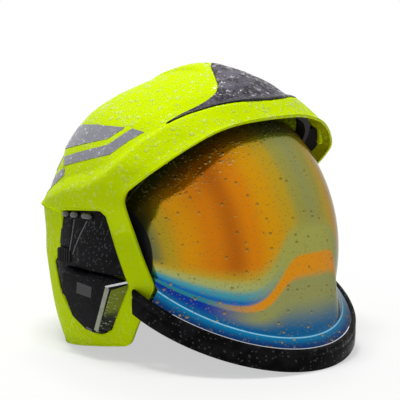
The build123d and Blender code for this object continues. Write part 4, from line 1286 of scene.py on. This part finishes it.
def panelBlack():
    paint = Paint("panelBlack", specular=0.05, coatRoughness=0.08)
    speckle = paint.noise(1700, 2, 0.7)
    patches = paint.noise(60, 3).ease(0.42, 0.64)
    base = paint.mix(patches, (0.001, 0.001, 0.0015), (0.007, 0.007, 0.009))
    base = paint.mix(speckle.ease(0.62, 0.74) * 0.4, base, (0.07, 0.07, 0.08))
    paint.put("roughness", 0.34 + patches * 0.2)
    # Drops with a painted highlight and painted shade
    paint.wetted(
        base, (0.06, 0.06, 0.075), (0.001, 0.001, 0.001), [(2.4 * mm, 0.3, 0.5)],
        coat=(0.02, 0.5), relief=(1.2, 0.7), under=paint.bump(speckle, 0.1 * mm, 0.5),
    )
    return paint


def bezelGrey():
    paint = Paint("bezelGrey", metallic=0.35, coatRoughness=0.1, specular=0.5)
    cloudy = paint.noise(240, 3)
    base = paint.mix(cloudy, (0.19, 0.215, 0.15), (0.34, 0.36, 0.27))
    paint.put("roughness", 0.3 + cloudy * 0.15)
    # Drops with a painted highlight and painted shade
    paint.wetted(
        base, (0.75, 0.76, 0.70), (0.08, 0.09, 0.06), [(2.4 * mm, 0.4, 0.7)],
        coat=(0.1, 0.6), relief=(0.8, 0.6),
    )
    return paint


def lensClear():
    # Smoked plastic with a painted reflection of the shell's colour towards its top, and painted glints of
    # the reflector below
    paint = Paint("lensClear", roughness=0.08, specular=0.12, transmission=0.12, ior=1.49, coatRoughness=0.05)
    height = paint.height()
    cloudy = paint.noise(180, 2)
    upper = (height + cloudy * (6 * mm)).ease(44 * mm, 56 * mm)
    glints = paint.noise(260, 3, 0.6).ease(0.56, 0.66)
    lower = paint.mix(glints, (0.012, 0.013, 0.008), (0.20, 0.21, 0.15))
    # Painted reflection of the shell in olive above, over the dark lower part with its painted glints
    base = paint.mix(upper, lower, (0.20, 0.25, 0.004))
    # Drops with a painted highlight and painted shade
    paint.wetted(
        base, (0.8, 0.85, 0.5), (0.08, 0.10, 0.0), [(2.6 * mm, 0.3, 0.5)],
        coat=(0.04, 0.3), relief=(0.7, 0.5),
    )
    return paint


def edgeGreyPaint():
    paint = Paint("edgeGrey", specular=0.5)
    speckle = paint.noise(1200, 2, 0.7)
    paint.put("color", paint.mix(speckle.ease(0.35, 0.65), (0.02, 0.02, 0.024), (0.11, 0.11, 0.125)))
    paint.put("roughness", 0.25 + speckle * 0.15)
    paint.put("normal", paint.bump(speckle, 0.1 * mm, 0.5))
    return paint


def boardGreen():
    paint = Paint("boardGreen", specular=0.4)
    traces = paint.cells(900).ease(0.2, 0.4)
    paint.put("color", paint.mix(traces, (0.02, 0.07, 0.03), (0.05, 0.16, 0.07)))
    paint.put("roughness", 0.35 + traces * 0.2)
    paint.put("normal", paint.bump(traces, 0.05 * mm, 0.5))
    return paint


def foamGrey():
    # Moulded foam: fine closed cells under a slightly worn skin
    paint = Paint("foamGrey", specular=0.12)
    beads = paint.cells(420)
    worn = paint.noise(45, 3)
    base = paint.mix(beads.ease(0.1, 0.6), (0.055, 0.055, 0.060), (0.030, 0.030, 0.034))
    paint.put("color", paint.mix(worn.ease(0.4, 0.7) * 0.5, base, (0.075, 0.075, 0.08)))
    paint.put("roughness", 0.75 + beads * 0.2)
    paint.put("normal", paint.bump(beads, 0.4 * mm, 0.5))
    return paint


# The frame's own nodes that keep their shape


def refinish(paint, *names):
    for name in names:
        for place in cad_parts[name].material_slots:
            place.material = paint.material


def bothSides(name):
    return [f"{name}_right", f"{name}_left"]


rubber, nylon, panelPaint = plainPaint("rubberBlack"), plainPaint("nylonBlack"), panelBlack()
refinish(rubber, "brow_seal", "ratchet_knob", *bothSides("lamp_switch"))
refinish(plainPaint("steelPin"), "pivot_pins", "strap_rivets", *bothSides("door_screws"))
refinish(
    nylon, "pivot_washers", "ratchet_housing", "strap_anchors", "buckle_socket", "buckle_tongue",
    *bothSides("pivot_bracket"), *bothSides("size_rack"),
)
refinish(panelPaint, *bothSides("battery_door"))
refinish(boardGreen(), *bothSides("lamp_board"))
refinish(plainPaint("reflectorChrome"), *bothSides("lamp_reflector"))
refinish(plainPaint("batteryGrey"), *bothSides("lamp_battery"))
refinish(plainPaint("buttonRed"), "buckle_button")
refinish(plainPaint("bandBlack"), "headband")
refinish(plainPaint("ocularClear"), "ocular_visor")
refinish(foamGrey(), "impact_liner")
print("finishes set")


# Lamp module: softened copies of the frame's pieces, with lobes, grooves and trim laid on them

module = dict(
    face=126 * mm,
    foot=114.6 * mm,
    inner=111.2 * mm,
    faceOutline=[
        (-55, 76), (4, 70.3), (11.4, 69.4), (-5.5, 28.7), (-12, 26), (-24, 27.5), (-42, 37), (-52, 54),
        (-57, 57),
    ],
    footOutline=[
        (-61, 80.5), (-8, 79.6), (24.2, 75.6), (-3, 25.6), (-11, 22.6), (-25, 24), (-45, 35), (-56, 53.5),
        (-62, 57),
    ],
    backOutline=[
        (-61.5, 80.5), (-8, 80), (24, 75.4), (-1, 27.5), (-12, 23.2), (-30, 27.6), (-48, 32.4), (-63.6, 49.6),
        (-62.8, 66),
    ],
    backThickness=1.4 * mm,
    lensOutline=[
        (11.6, 69.6), (23.6, 75.2), (24.0, 69.2), (11.5, 46.5), (4.4, 33.5), (-1.8, 26.6), (-5.6, 29.2),
    ],
    frontNear=([28.7, 69.5], [-5.5, 11.4]),
    frontFar=([25.6, 75.6], [-3, 24.2]),
    frontMiddle=(120, 11, 52),
    pocketBorder=1.0 * mm,
    pocketDepth=6.6 * mm,
    lensThickness=1.4 * mm,
    lobeRadius=3.1 * mm,
    lobeSink=1.6 * mm,
    lobes=[(-60.5, 130.4, 8.5), (-46.5, 131.2, 10), (-28, 132.0, 14)],
    ridges=[[(-48, 126.4), (-51, 111), (-55.2, 95.8)], [(-28.8, 127.1), (-40, 110.5), (-50.4, 93.1)]],
    ridgeRadius=0.8 * mm,
    ridgeSink=2.7 * mm,
    post=[(7.4, 70.6), (-8.6, 28.2)],
    postSize=(5.2 * mm, 2.2 * mm),
    topBar=[(4.5, 71.2), (22.5, 76.6)],
    topBarSize=(2.2 * mm, 2.4 * mm),
    label=[(-34.8, 70.6), (-14.4, 68.4), (-15.6, 57.8), (-36.0, 59.8)],
    labelSize=dict(depth=1.0 * mm, proud=0.15 * mm, bevel=0.3 * mm),
    clip=[(-22.6, 30.4), (-14.2, 28.6), (-14.4, 26.4), (-22.8, 28.2)],
    clipSize=dict(depth=4 * mm, proud=0.4 * mm, bevel=0.5 * mm),
    panelBevel=0.8 * mm,
    bodyBevel=1.0 * mm,
    barBevel=0.35 * mm,
)


def softened(name, node, width):
    # A closed copy of a frame node with its edges rounded
    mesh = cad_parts[node].data.copy()
    mesh.name = name
    piece = bpy.data.objects.new(name, mesh)
    bpy.context.scene.collection.objects.link(piece)
    work = bmesh.new()
    work.from_mesh(mesh)
    bmesh.ops.remove_doubles(work, verts=work.verts, dist=0.02 * mm)
    bmesh.ops.dissolve_limit(work, angle_limit=math.radians(1.5), verts=work.verts, edges=work.edges)
    work.to_mesh(mesh)
    work.free()
    softEdges(piece, width, 2, smooth=32)
    return piece


def tube(name, line, radii, sides):
    # A round bar along a line of (across, forward, height)
    line = np.asarray(line, float)
    side = unit(np.cross(unit(np.gradient(line, axis=0)), [1, 0, 0]))
    up = np.cross(side, unit(np.gradient(line, axis=0)))
    turns = 2 * math.pi * np.arange(sides) / sides
    rings = [
        centre + across * radius * np.cos(turns)[:, None] + high * radius * np.sin(turns)[:, None]
        for centre, across, high, radius in zip(line, side, up, np.broadcast_to(radii, len(line)))
    ]
    return closedForm(name, np.stack(rings), cappedFaces(len(line), sides), 55)


def capsule(line, radius, step=6):
    # Points and radii that close a bar with round ends
    line = np.asarray(line, float)
    first, last = unit(line[0] - line[1]), unit(line[-1] - line[-2])
    turns = np.linspace(0, math.pi / 2, step)
    starts = [line[0] + first * radius * math.cos(turn) for turn in turns[:-1]]
    ends = [line[-1] + last * radius * math.sin(turn) for turn in turns[1:]]
    radii = [radius * math.sin(turn) + 1e-5 for turn in turns[:-1]] + [radius] * len(line)
    radii += [radius * math.cos(turn) + 1e-5 for turn in turns[1:]]
    return np.array(starts + list(line) + ends), radii


def plate(name, outline, side, depth, proud, bevel):
    # A flat plate that stands proud of the housing's face: its outline as (forward, height) in millimetres
    outer = levelled(outline, module["face"] + proud, side)
    piece = prism(name, outer, outer - [depth * side, 0, 0])
    softEdges(piece, bevel, 2)
    return piece


def levelled(outline, depth, side):
    outline = np.array(outline) * mm
    return np.column_stack([np.full(len(outline), depth * side), outline])


def moduleBody(name, side):
    # A wedge with a sloping top and a slanted front that is cut into a pocket for the lamp
    rings = [
        levelled(module["backOutline"], module["inner"], side),
        levelled(module["backOutline"], module["inner"] + module["backThickness"], side),
        levelled(module["footOutline"], module["foot"], side),
        levelled(module["faceOutline"], module["face"], side),
    ]
    piece = closedForm(name, np.stack(rings), cappedFaces(len(rings), len(module["faceOutline"])))
    work = bmesh.new()
    work.from_mesh(piece.data)
    target = Vector(toFrame(np.array(module["frontMiddle"]) * [side, 1, 1] * mm))
    front = min(work.faces, key=lambda face: (face.calc_center_median() - target).length)
    bmesh.ops.inset_individual(work, faces=[front], thickness=module["pocketBorder"], use_even_offset=True)
    pushed = bmesh.ops.extrude_discrete_faces(work, faces=[front])["faces"]
    bmesh.ops.translate(work, verts=pushed[0].verts, vec=-pushed[0].normal * module["pocketDepth"])
    bmesh.ops.recalc_face_normals(work, faces=work.faces)
    work.to_mesh(piece.data)
    work.free()
    softEdges(piece, module["bodyBevel"], 3, 14, smooth=30)
    return piece


def lensPoints(side):
    # The lens lies across the slanted front, from the face's edge to the foot's
    points = []
    for ahead, height in module["lensOutline"]:
        near, far = np.interp(height, *module["frontNear"]), np.interp(height, *module["frontFar"])
        share = np.clip((ahead - near) / max(far - near, 1), 0, 1)
        depth = module["face"] + (module["foot"] - module["face"]) * share
        points.append((side * depth, ahead * mm, height * mm))
    return np.array(points)


def makeLens(name, side):
    outer = lensPoints(side)
    middle = outer.mean(axis=0)
    normal = np.cross(outer[1] - outer[0], outer[-1] - outer[0])
    normal *= np.sign(normal[0]) * side / np.linalg.norm(normal)
    outer = middle + (outer - middle) * 0.97 + normal * 0.2 * mm
    return prism(name, outer, outer - normal * module["lensThickness"])


def bar(name, first, last, width, depth, side):
    # A squared bar between two points, its width along the side plane
    first, last = np.array(first) * mm, np.array(last) * mm
    along = unit(last - first)
    across = unit(np.cross(along, [side, 0, 0]))
    up = np.cross(across, along)
    up *= np.sign(up[0]) * side
    ends = []
    for place in (first, last):
        for wide, high in ((-0.5, 0.35), (0.5, 0.35), (0.5, -0.65), (-0.5, -0.65)):
            ends.append(place + across * wide * width + up * high * depth)
    faces = [(0, 1, 2, 3), (7, 6, 5, 4)] + [(i, (i + 1) % 4, (i + 1) % 4 + 4, i + 4) for i in range(4)]
    piece = closedForm(name, ends, faces)
    softEdges(piece, module["barBevel"], 3, smooth=40)
    return piece


def makeModule(hand, side):
    def wear(piece, paint, slot, node):
        dress(piece, paint, "shell", slot, f"{node}_{hand.lower()}")

    panel = softened(f"lampPanel{hand}", f"lamp_panel_{hand.lower()}", module["panelBevel"])
    wear(panel, panelPaint, "panel_black", "lamp_panel")
    wear(moduleBody(f"lampBody{hand}", side), panelPaint, "panel_black", "lamp_body")
    wear(makeLens(f"lampLens{hand}", side), lensPaint, "lens_clear", "lamp_lens")
    face, foot = module["face"] / mm * side, module["foot"] / mm * side
    first, last = module["post"]
    post = bar(f"bezelBar{hand}", (face, *first), (face, *last), *module["postSize"], side)
    wear(post, bezelPaint, "bezel_grey", "lamp_bezel")
    first, last = module["topBar"]
    top = bar(f"bezelTop{hand}", (face, *first), (foot, *last), *module["topBarSize"], side)
    wear(top, silverPaint, "bezel_grey", "lamp_bezel")
    for number, (ahead, height, length) in enumerate(module["lobes"]):
        across = side * (acrossAt(ahead * mm, height * mm) - module["lobeSink"])
        reach = (length / 2 - 3) * mm
        ends = [(ahead * mm - reach, height * mm - 0.4 * mm), (ahead * mm + reach, height * mm)]
        line = [(across, *end) for end in ends]
        lobe = tube(f"panelLobe{number}{hand}", *capsule(line, module["lobeRadius"]), 20)
        wear(lobe, glossBlack, "panel_black", "lamp_panel")
    for number, corners in enumerate(module["ridges"]):
        flat = curved(np.array(corners) * mm, 40)
        line = np.column_stack([side * (acrossAt(flat[:, 0], flat[:, 1]) - module["ridgeSink"]), flat])
        ridge = tube(f"panelRidge{number}{hand}", line, module["ridgeRadius"], 8)
        wear(ridge, edgeGrey, "panel_black", "lamp_panel")
    label = plate(f"labelPlace{hand}", module["label"], side, **module["labelSize"])
    wear(label, labelBlack, "panel_black", "lamp_body")
    clip = plate(f"bodyClip{hand}", module["clip"], side, **module["clipSize"])
    wear(clip, edgeGrey, "panel_black", "lamp_body")


glossBlack, labelBlack = plainPaint("glossBlack"), plainPaint("labelBlack")
silverPaint = plainPaint("bezelSilver")
edgeGrey, bezelPaint, lensPaint = edgeGreyPaint(), bezelGrey(), lensClear()
for moduleHand, moduleSide in hands.items():
    makeModule(moduleHand, moduleSide)
print("lamp modules made")

# Shield ears that turn on the pins, and the rubber skirt inside the opening's side edges

ears = dict(
    inner=100.6 * mm,
    outer=103.1 * mm,
    reach=44.5 * mm,
    hub=17 * mm,
    bore=4.05 * mm,
    edge=0.4 * mm,
    lowAngle=-19.5,
    highAngle=88,
)
skirt = dict(
    low=22 * mm,
    high=196 * mm,
    rear=-20 * mm,
    inward=7.5 * mm,
    gap=0.6 * mm,
    cornerBack=9 * mm,
    profile=[
        (1.0, 0), (4.5, 0.2), (8.5, 0.75), (9.5, 1.0), (9.0, 1.18), (7.0, 0.95), (3.5, 0.42), (1.0, 0.22),
    ],
)
lug = dict(line=[(99, 60, 207), (101, 61, 202), (102.5, 61, 196), (104, 60, 190)], radius=3.0 * mm)


def makeEar(name, side):
    # A flat sector beside the pin, with a round hub and a bore
    angles = np.linspace(-180, 180, 241)[:-1]
    low, high, edge = ears["lowAngle"], ears["highAngle"], ears["edge"]
    inSector = ease(angles, low - 0.5, low + 0.5) * (1 - ease(angles, high - 0.5, high + 0.5))
    bore, rim = ears["bore"] + angles * 0, ears["hub"] + (ears["reach"] - ears["hub"]) * inSector
    turn = np.radians(angles)
    rings = []
    for radius, depth in (
        (bore, ears["inner"] + edge), (bore + edge, ears["inner"]),
        (rim - edge, ears["inner"]), (rim, ears["inner"] + edge),
        (rim, ears["outer"] - edge), (rim - edge, ears["outer"]),
        (bore + edge, ears["outer"]), (bore, ears["outer"] - edge),
    ):
        rings.append(np.column_stack([
            np.full(len(angles), side * depth),
            shield["pivotForward"] + radius * np.cos(turn),
            shield["pivotHeight"] + radius * np.sin(turn),
        ]))
    return closedForm(name, np.stack(rings), ringFaces(len(rings), len(angles)), 40)


def makeSkirt(name, side):
    # Its profile: how far behind the rim in millimetres, and the share of the way inwards
    loop = openingLoop()
    half = loop[: len(loop) // 2]
    line = half[(half[:, 2] > skirt["low"]) & (half[:, 2] < skirt["high"]) & (half[:, 1] > skirt["rear"])]
    line = spread(line, 160)
    out = shellNormal(line)
    back = np.cross(out, unit(np.gradient(line, axis=0)))
    back = unit(back) * np.where(back[:, 1] > 0, -1, 1)[:, None]
    rings = []
    for behind, inward in skirt["profile"]:
        reach = behind * mm + skirt["cornerBack"] * ease(line[:, 2] / mm, 140, 165)
        depth = shell["wall"] + skirt["gap"] + skirt["inward"] * inward
        rings.append(line + back * reach[:, None] - out * depth)
    points = flared(np.stack(rings, axis=1)) * [side, 1, 1]
    return closedForm(name, points, cappedFaces(len(line), len(rings)), 55)


def makeLug(name, side):
    # The moulded lug on the inner side of the brow's corner, narrow at its top
    line = spread(np.array(lug["line"]) * mm, 30)
    closed, radii = capsule(line * [side, 1, 1], lug["radius"])
    radii = np.array(radii) * (0.5 + 0.7 * np.linspace(0, 1, len(closed)) ** 2)
    return tube(name, closed, radii, 20)


for earHand, earSide in hands.items():
    dress(makeLug(f"browLug{earHand}", earSide), shellPaint, "shell", "shell_yellow")
    dress(makeEar(f"shieldEar{earHand}", earSide), nylon, "shield", "shield_gold", "face_shield")
    dress(makeSkirt(f"sideSkirt{earHand}", earSide), rubber, "shell", "rubber_black")
print("ears and skirts made")


# Webbing, pads and stitches inside

head = dict(
    middle=np.array([0, -23, 115]) * mm,
    cradle=np.array([85.6, 107.6, 100.6]) * mm,
    cradleTop=146.8 * mm,
    cradleWidth=22 * mm,
    cradleThickness=1.4 * mm,
    cradleStep=1.5 * mm,
    cradleLift=0.85 * mm,
    hubProfile=[(0.1, -2.6), (17, -2.6), (19.5, -2.2), (20.4, -1.3), (19.5, -0.5), (17, -0.2), (0.1, -0.1)],
    hubDrop=-1.2,
    bandWide=80.7 * mm,
    bandLong=99.7 * mm,
)
strap = dict(
    width=16 * mm,
    thickness=1.5 * mm,
    front=60 * mm,
    frontHeight=54 * mm,
    slope=-7,
    bend=24 * mm,
    corner=60 * mm,
    halfWidth=97 * mm,
    sideRun=50 * mm,
    run=150 * mm,
    ends=dict(Right=3.4 * mm, Left=46.3 * mm),
    seams=(126, 138),
)
pads = dict(
    middle=np.array([0, -23, 132]) * mm,
    gap=1.8 * mm,
    halfHeight=10.4 * mm,
    thickness=3.2 * mm,
    corner=9 * mm,
    seam=24 * mm,
    puff=0.5 * mm,
    stitchDepth=1.0 * mm,
    stitchRise=8.6 * mm,
    ends=[("browPad", 1, 66 * mm, "brow_pad"), ("napePad", -1, 52 * mm, "nape_pad")],
)
air = dict(pressure=2.0, frames=14, quality=4)
chinPad = dict(
    near=0.6 * mm,
    far=-44.6 * mm,
    halfHeight=12.4 * mm,
    thickness=9.6 * mm,
    corner=7 * mm,
    seam=200 * mm,
    puff=0.8 * mm,
    stitchDepth=-3.4 * mm,
    stitchRise=9.6 * mm,
)
stitch = dict(spacing=2.6 * mm, length=1.7 * mm, radius=0.28 * mm, inset=2.0 * mm)


def webbing(name, dark, light):
    # A plain weave that follows the strap: across and along are in millimetres in its map
    paint = Paint(name, specular=0.2, sheen=0.35)
    across, along = paint.mapped("weaveMap")

    def wave(value, pitch, shift=0.0):
        return paint.node("ShaderNodeMath", {"operation": "SINE"}, {0: value * (2 * math.pi / pitch) + shift})

    warp = wave(across, 1.6)
    weft = wave(along + across * 0.5, 1.1) * wave(across, 3.2, 1.5)
    weave = (warp * 0.25 + weft * 0.35 + 0.5).larger(0).smaller(1)
    worn = paint.noise(60, 3)
    base = paint.mix(weave, dark, light)
    paint.put("color", paint.mix(worn.ease(0.5, 0.75) * 0.4, base, light))
    paint.put("roughness", 0.72 + worn * 0.15)
    paint.put("normal", paint.bump(weave, 0.3 * mm, 0.7))
    return paint


def leatherBlack():
    paint = Paint("leatherBlack", specular=0.3, sheen=0.1)
    grain = paint.cells(650, feature="SMOOTH_F1")
    pores = paint.noise(1500, 3, 0.6)
    worn = paint.noise(35, 3)
    base = paint.mix(grain.ease(0.1, 0.6), (0.022, 0.020, 0.019), (0.010, 0.009, 0.009))
    paint.put("color", paint.mix(worn.ease(0.45, 0.7) * 0.5, base, (0.038, 0.034, 0.031)))
    paint.put("roughness", 0.42 + worn * 0.25)
    paint.put("normal", paint.bump(grain + pores * 0.3, 0.25 * mm, 0.6))
    return paint


def ribbon(name, line, across, width, thickness):
    # A flat strap along a line: across is the direction of its width at each point
    across = unit(np.asarray(across, float))
    out = np.cross(across, unit(np.gradient(line, axis=0)))
    walked = walkedAlong(line)
    half, thin = width / 2, thickness / 2
    edge = thin * 0.9
    upper = [
        (-half + edge, thin), (-half / 2, thin), (0, thin), (half / 2, thin), (half - edge, thin),
        (half - edge * 0.3, thin * 0.7), (half, 0), (half - edge * 0.3, -thin * 0.7),
    ]
    profile = upper + [(-wide, -high) for wide, high in upper]
    rings = [line + across * wide + out * high for wide, high in profile]
    count = len(profile)
    piece = addMesh(name, np.stack(rings, axis=1), cappedFaces(len(line), count))
    wide = np.array(profile)[:, 0]
    addMap(piece, "weaveMap", count, lambda row, place: (wide[place] / mm, walked[row] / mm))
    faceOut(piece)
    sharpen(piece, 50)
    return piece


def stitchTree():
    # Geometry Nodes: one rounded stitch every spacing along each line of the mesh
    tree = bpy.data.node_groups.new("stitchRow", "GeometryNodeTree")
    tree.interface.new_socket("Geometry", in_out="INPUT", socket_type="NodeSocketGeometry")
    for name in ("Spacing", "Length", "Radius"):
        tree.interface.new_socket(name, in_out="INPUT", socket_type="NodeSocketFloat")
    tree.interface.new_socket("Thread", in_out="INPUT", socket_type="NodeSocketMaterial")
    tree.interface.new_socket("Geometry", in_out="OUTPUT", socket_type="NodeSocketGeometry")
    entry, result = tree.nodes.new("NodeGroupInput"), tree.nodes.new("NodeGroupOutput")

    def add(kind, settings=None, links=None):
        node = tree.nodes.new(kind)
        for key, value in (settings or {}).items():
            setattr(node, key, value)
        for key, value in (links or {}).items():
            if isinstance(value, bpy.types.NodeSocket):
                tree.links.new(value, node.inputs[key])
            else:
                node.inputs[key].default_value = value
        return node

    spacing, length, radius = (entry.outputs[name] for name in ("Spacing", "Length", "Radius"))
    curve = add("GeometryNodeMeshToCurve", links={"Mesh": entry.outputs["Geometry"]})
    rows = {"Curve": curve.outputs[0], "Length": spacing}
    spots = add("GeometryNodeCurveToPoints", {"mode": "LENGTH"}, rows)
    grain = add("GeometryNodeMeshUVSphere", links={"Segments": 8, "Rings": 5, "Radius": radius})
    longer = add("ShaderNodeMath", {"operation": "DIVIDE"}, {0: length, 1: radius})
    half = add("ShaderNodeMath", {"operation": "MULTIPLY"}, {0: longer.outputs[0], 1: 0.5})
    size = add("ShaderNodeCombineXYZ", links={"X": 1.0, "Y": 1.0, "Z": half.outputs[0]})
    shape = add("GeometryNodeTransform", links={"Geometry": grain.outputs[0], "Scale": size.outputs[0]})
    turned = add("FunctionNodeAlignRotationToVector", {"axis": "Z"}, {"Vector": spots.outputs["Tangent"]})
    placed = add("GeometryNodeInstanceOnPoints", links={
        "Points": spots.outputs["Points"], "Instance": shape.outputs[0], "Rotation": turned.outputs[0],
    })
    real = add("GeometryNodeRealizeInstances", links={"Geometry": placed.outputs[0]})
    threaded = {"Geometry": real.outputs[0], "Material": entry.outputs["Thread"]}
    painted = add("GeometryNodeSetMaterial", links=threaded)
    tree.links.new(painted.outputs[0], result.inputs[0])
    return tree


def stitched(name, lines):
    # Rows of stitches along lines of (across, forward, height)
    points, edges = [], []
    for line in lines:
        start = len(points)
        points += [tuple(spot) for spot in toFrame(line)]
        edges += [(number, number + 1) for number in range(start, len(points) - 1)]
    mesh = bpy.data.meshes.new(name)
    mesh.from_pydata(points, edges, [])
    piece = bpy.data.objects.new(name, mesh)
    bpy.context.scene.collection.objects.link(piece)
    modifier = piece.modifiers.new("stitches", "NODES")
    modifier.node_group = rowTree
    inputs = {item.name: item.identifier for item in rowTree.interface.items_tree if item.in_out == "INPUT"}
    modifier[inputs["Spacing"]] = stitch["spacing"]
    modifier[inputs["Length"]] = stitch["length"]
    modifier[inputs["Radius"]] = stitch["radius"]
    modifier[inputs["Thread"]] = thread.material
    settled(piece)
    piece.data.shade_smooth()
    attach(piece, "shell")


def makeCradle():
    # Two crossed ribbons over the crown, the long one just under the other, and a round hub where they meet
    wide, long, tall = head["cradle"] - head["cradleThickness"] / 2
    low = math.asin((head["cradleTop"] - head["middle"][2]) / tall)
    turns = np.linspace(low, math.pi - low, 121)
    rows = []
    for name, reach, axis, sideways in (
        ("cradleAcross", wide, 0, [0, 1.0, 0]),
        ("cradleAlong", long, 1, [1.0, 0, 0]),
    ):
        line = np.zeros((len(turns), 3))
        line[:, axis] = reach * np.cos(turns)
        line[:, 2] = tall * np.sin(turns)
        line += head["middle"]
        if axis:
            line[:, 2] -= head["cradleStep"] * np.sin(turns) ** 8
        across = np.broadcast_to(sideways, line.shape)
        piece = ribbon(name, line, across, head["cradleWidth"], head["cradleThickness"])
        dress(piece, webGrey, "shell", "webbing_grey", "crown_cradle")
        inward = unit(head["middle"] - line)
        edge = head["cradleWidth"] / 2 - stitch["inset"]
        rows += [line + across * offset + inward * head["cradleLift"] for offset in (-edge, edge)]
    stitched("cradleStitches", rows)
    turns = np.linspace(0, 2 * math.pi, 61)[:-1]
    rings = []
    for radius, lift in head["hubProfile"]:
        flat = np.column_stack([radius * np.cos(turns), radius * np.sin(turns)]) * mm
        away = 1 - (flat[:, 0] / wide) ** 2 - (flat[:, 1] / long) ** 2
        height = tall * np.sqrt(away) + (lift + head["hubDrop"]) * mm
        rings.append(np.column_stack([flat, height]) + head["middle"])
    hub = closedForm("cradleHub", np.stack(rings), cappedFaces(len(rings), len(turns)), 50)
    dress(hub, nylon, "shell", "webbing_grey", "crown_cradle")


def strapLine(hand, side):
    half = strap["halfWidth"]
    corners = [(strap["ends"][hand], 0), (strap["corner"], 0), (half, strap["sideRun"]), (half, strap["run"])]
    flat = spread(rounded(corners, [0, strap["bend"], strap["bend"], 0]), 150)
    turn = math.radians(strap["slope"])
    line = np.column_stack([
        side * flat[:, 0],
        strap["front"] - flat[:, 1] * math.cos(turn),
        strap["frontHeight"] + flat[:, 1] * math.sin(turn),
    ])
    return line, np.broadcast_to([0, math.sin(turn), math.cos(turn)], line.shape)


def makeStraps():
    # Stitched along both edges on both faces, with two seams across beside the anchor
    for hand, side in hands.items():
        line, across = strapLine(hand, side)
        piece = ribbon(f"chinStrap{hand}", line, across, strap["width"], strap["thickness"])
        dress(piece, webBlack, "shell", "webbing_black", f"chin_strap_{hand.lower()}")
        out = unit(np.cross(across, np.gradient(line, axis=0)))
        edge = strap["width"] / 2 - stitch["inset"]
        lift = strap["thickness"] / 2 + 0.05 * mm
        rows = [line + across * offset + out * high for offset in (-edge, edge) for high in (-lift, lift)]
        ends = np.linspace(-edge, edge, 12)[:, None]
        for spot in strap["seams"]:
            rows += [line[spot] + across[spot] * ends + out[spot] * high for high in (-lift, lift)]
        stitched(f"strapStitches{hand}", rows)


def padForm(name, spine, outwards, upwards, size):
    # A crowned pad along a spine: its sides pull in and its channels are sewn across it
    count, around = len(spine), 28
    walked = walkedAlong(spine)
    fromEnd = np.minimum(walked, walked[-1] - walked)
    rounding = np.sqrt(1 - (1 - np.clip(fromEnd / size["corner"], 0, 1)) ** 2)
    turns = 2 * math.pi * np.arange(around) / around
    tall = np.sign(np.sin(turns)) * np.abs(np.sin(turns)) ** 0.55 * size["halfHeight"]
    thick = np.sign(np.cos(turns)) * np.abs(np.cos(turns)) ** 0.75 * size["thickness"] / 2
    rings = []
    for index in range(count):
        high = tall * (0.72 + 0.28 * rounding[index])
        deep = thick * max(rounding[index], 0.04)
        channel = 1 - 0.45 * math.exp(-((walked[index] % size["seam"] - size["seam"] / 2) / (1.6 * mm)) ** 2)
        deep = np.where(deep < 0, deep * channel, deep)
        rings.append(spine[index] + outwards[index] * deep[:, None] + upwards[index] * high[:, None])
    return closedForm(name, np.stack(rings), cappedFaces(count, around))


def puffed(piece, most):
    # Cloth under a little air pressure, each point kept near its start, then a finer mesh
    start = np.array([vertex.co[:] for vertex in piece.data.vertices])
    cloth = piece.modifiers.new("air", "CLOTH")
    cloth.settings.use_pressure = True
    cloth.settings.uniform_pressure_force = air["pressure"]
    cloth.settings.effector_weights.gravity = 0
    cloth.settings.quality = air["quality"]
    for number in range(1, air["frames"] + 1):
        bpy.context.scene.frame_set(number)
    settled(piece)
    bpy.context.scene.frame_set(1)
    spots = np.array([vertex.co[:] for vertex in piece.data.vertices])
    moved = spots - start
    far = np.linalg.norm(moved, axis=1, keepdims=True)
    spots = start + moved * np.minimum(1, most / np.maximum(far, 1e-9))
    piece.data.vertices.foreach_set("co", spots.ravel())
    piece.data.update()
    smooth = piece.modifiers.new("smooth", "SUBSURF")
    smooth.levels = smooth.render_levels = 1
    settled(piece)
    piece.data.shade_smooth()


def padRows(spine, outwards, upwards, size, ends):
    # Two rows of stitches near the pad's long edges, short of its ends
    line = (spine - outwards * size["stitchDepth"])[ends:-ends]
    rise = (upwards * size["stitchRise"])[ends:-ends]
    return [line - rise, line + rise]


def makePads():
    for name, end, halfWidth, node in pads["ends"]:
        wide, long = head["bandWide"] - pads["gap"], head["bandLong"] - pads["gap"]
        reach = math.asin(halfWidth / wide)
        turns = np.linspace(-reach, reach, 97)
        spine = np.column_stack([wide * np.sin(turns), end * long * np.cos(turns), turns * 0])
        spine += pads["middle"]
        outwards = unit(np.column_stack([np.sin(turns) / wide, end * np.cos(turns) / long, turns * 0]))
        upwards = np.broadcast_to([0, 0, 1.0], spine.shape)
        piece = padForm(name, spine, outwards, upwards, pads)
        puffed(piece, pads["puff"])
        dress(piece, leather, "shell", "pad_leather", node)
        stitched(f"{name}Stitches", padRows(spine, outwards, upwards, pads, 6))
    turn = math.radians(strap["slope"])
    across = np.linspace(chinPad["near"], chinPad["far"], 61)
    spine = np.column_stack([across, across * 0 + strap["front"], across * 0 + strap["frontHeight"]])
    outwards = np.broadcast_to([0, math.cos(turn), -math.sin(turn)], spine.shape)
    upwards = np.broadcast_to([0, math.sin(turn), math.cos(turn)], spine.shape)
    piece = padForm("chinPad", spine, outwards, upwards, chinPad)
    puffed(piece, chinPad["puff"])
    dress(piece, leather, "shell", "pad_leather", "chin_pad")
    stitched("chinPadStitches", padRows(spine, outwards, upwards, chinPad, 5))


webGrey = webbing("webbingGrey", (0.05, 0.052, 0.056), (0.14, 0.145, 0.155))
webBlack = webbing("webbingBlack", (0.008, 0.008, 0.009), (0.035, 0.035, 0.038))
leather, thread = leatherBlack(), plainPaint("threadGrey")
rowTree = stitchTree()
makeCradle()
makeStraps()
makePads()
print("inside made")
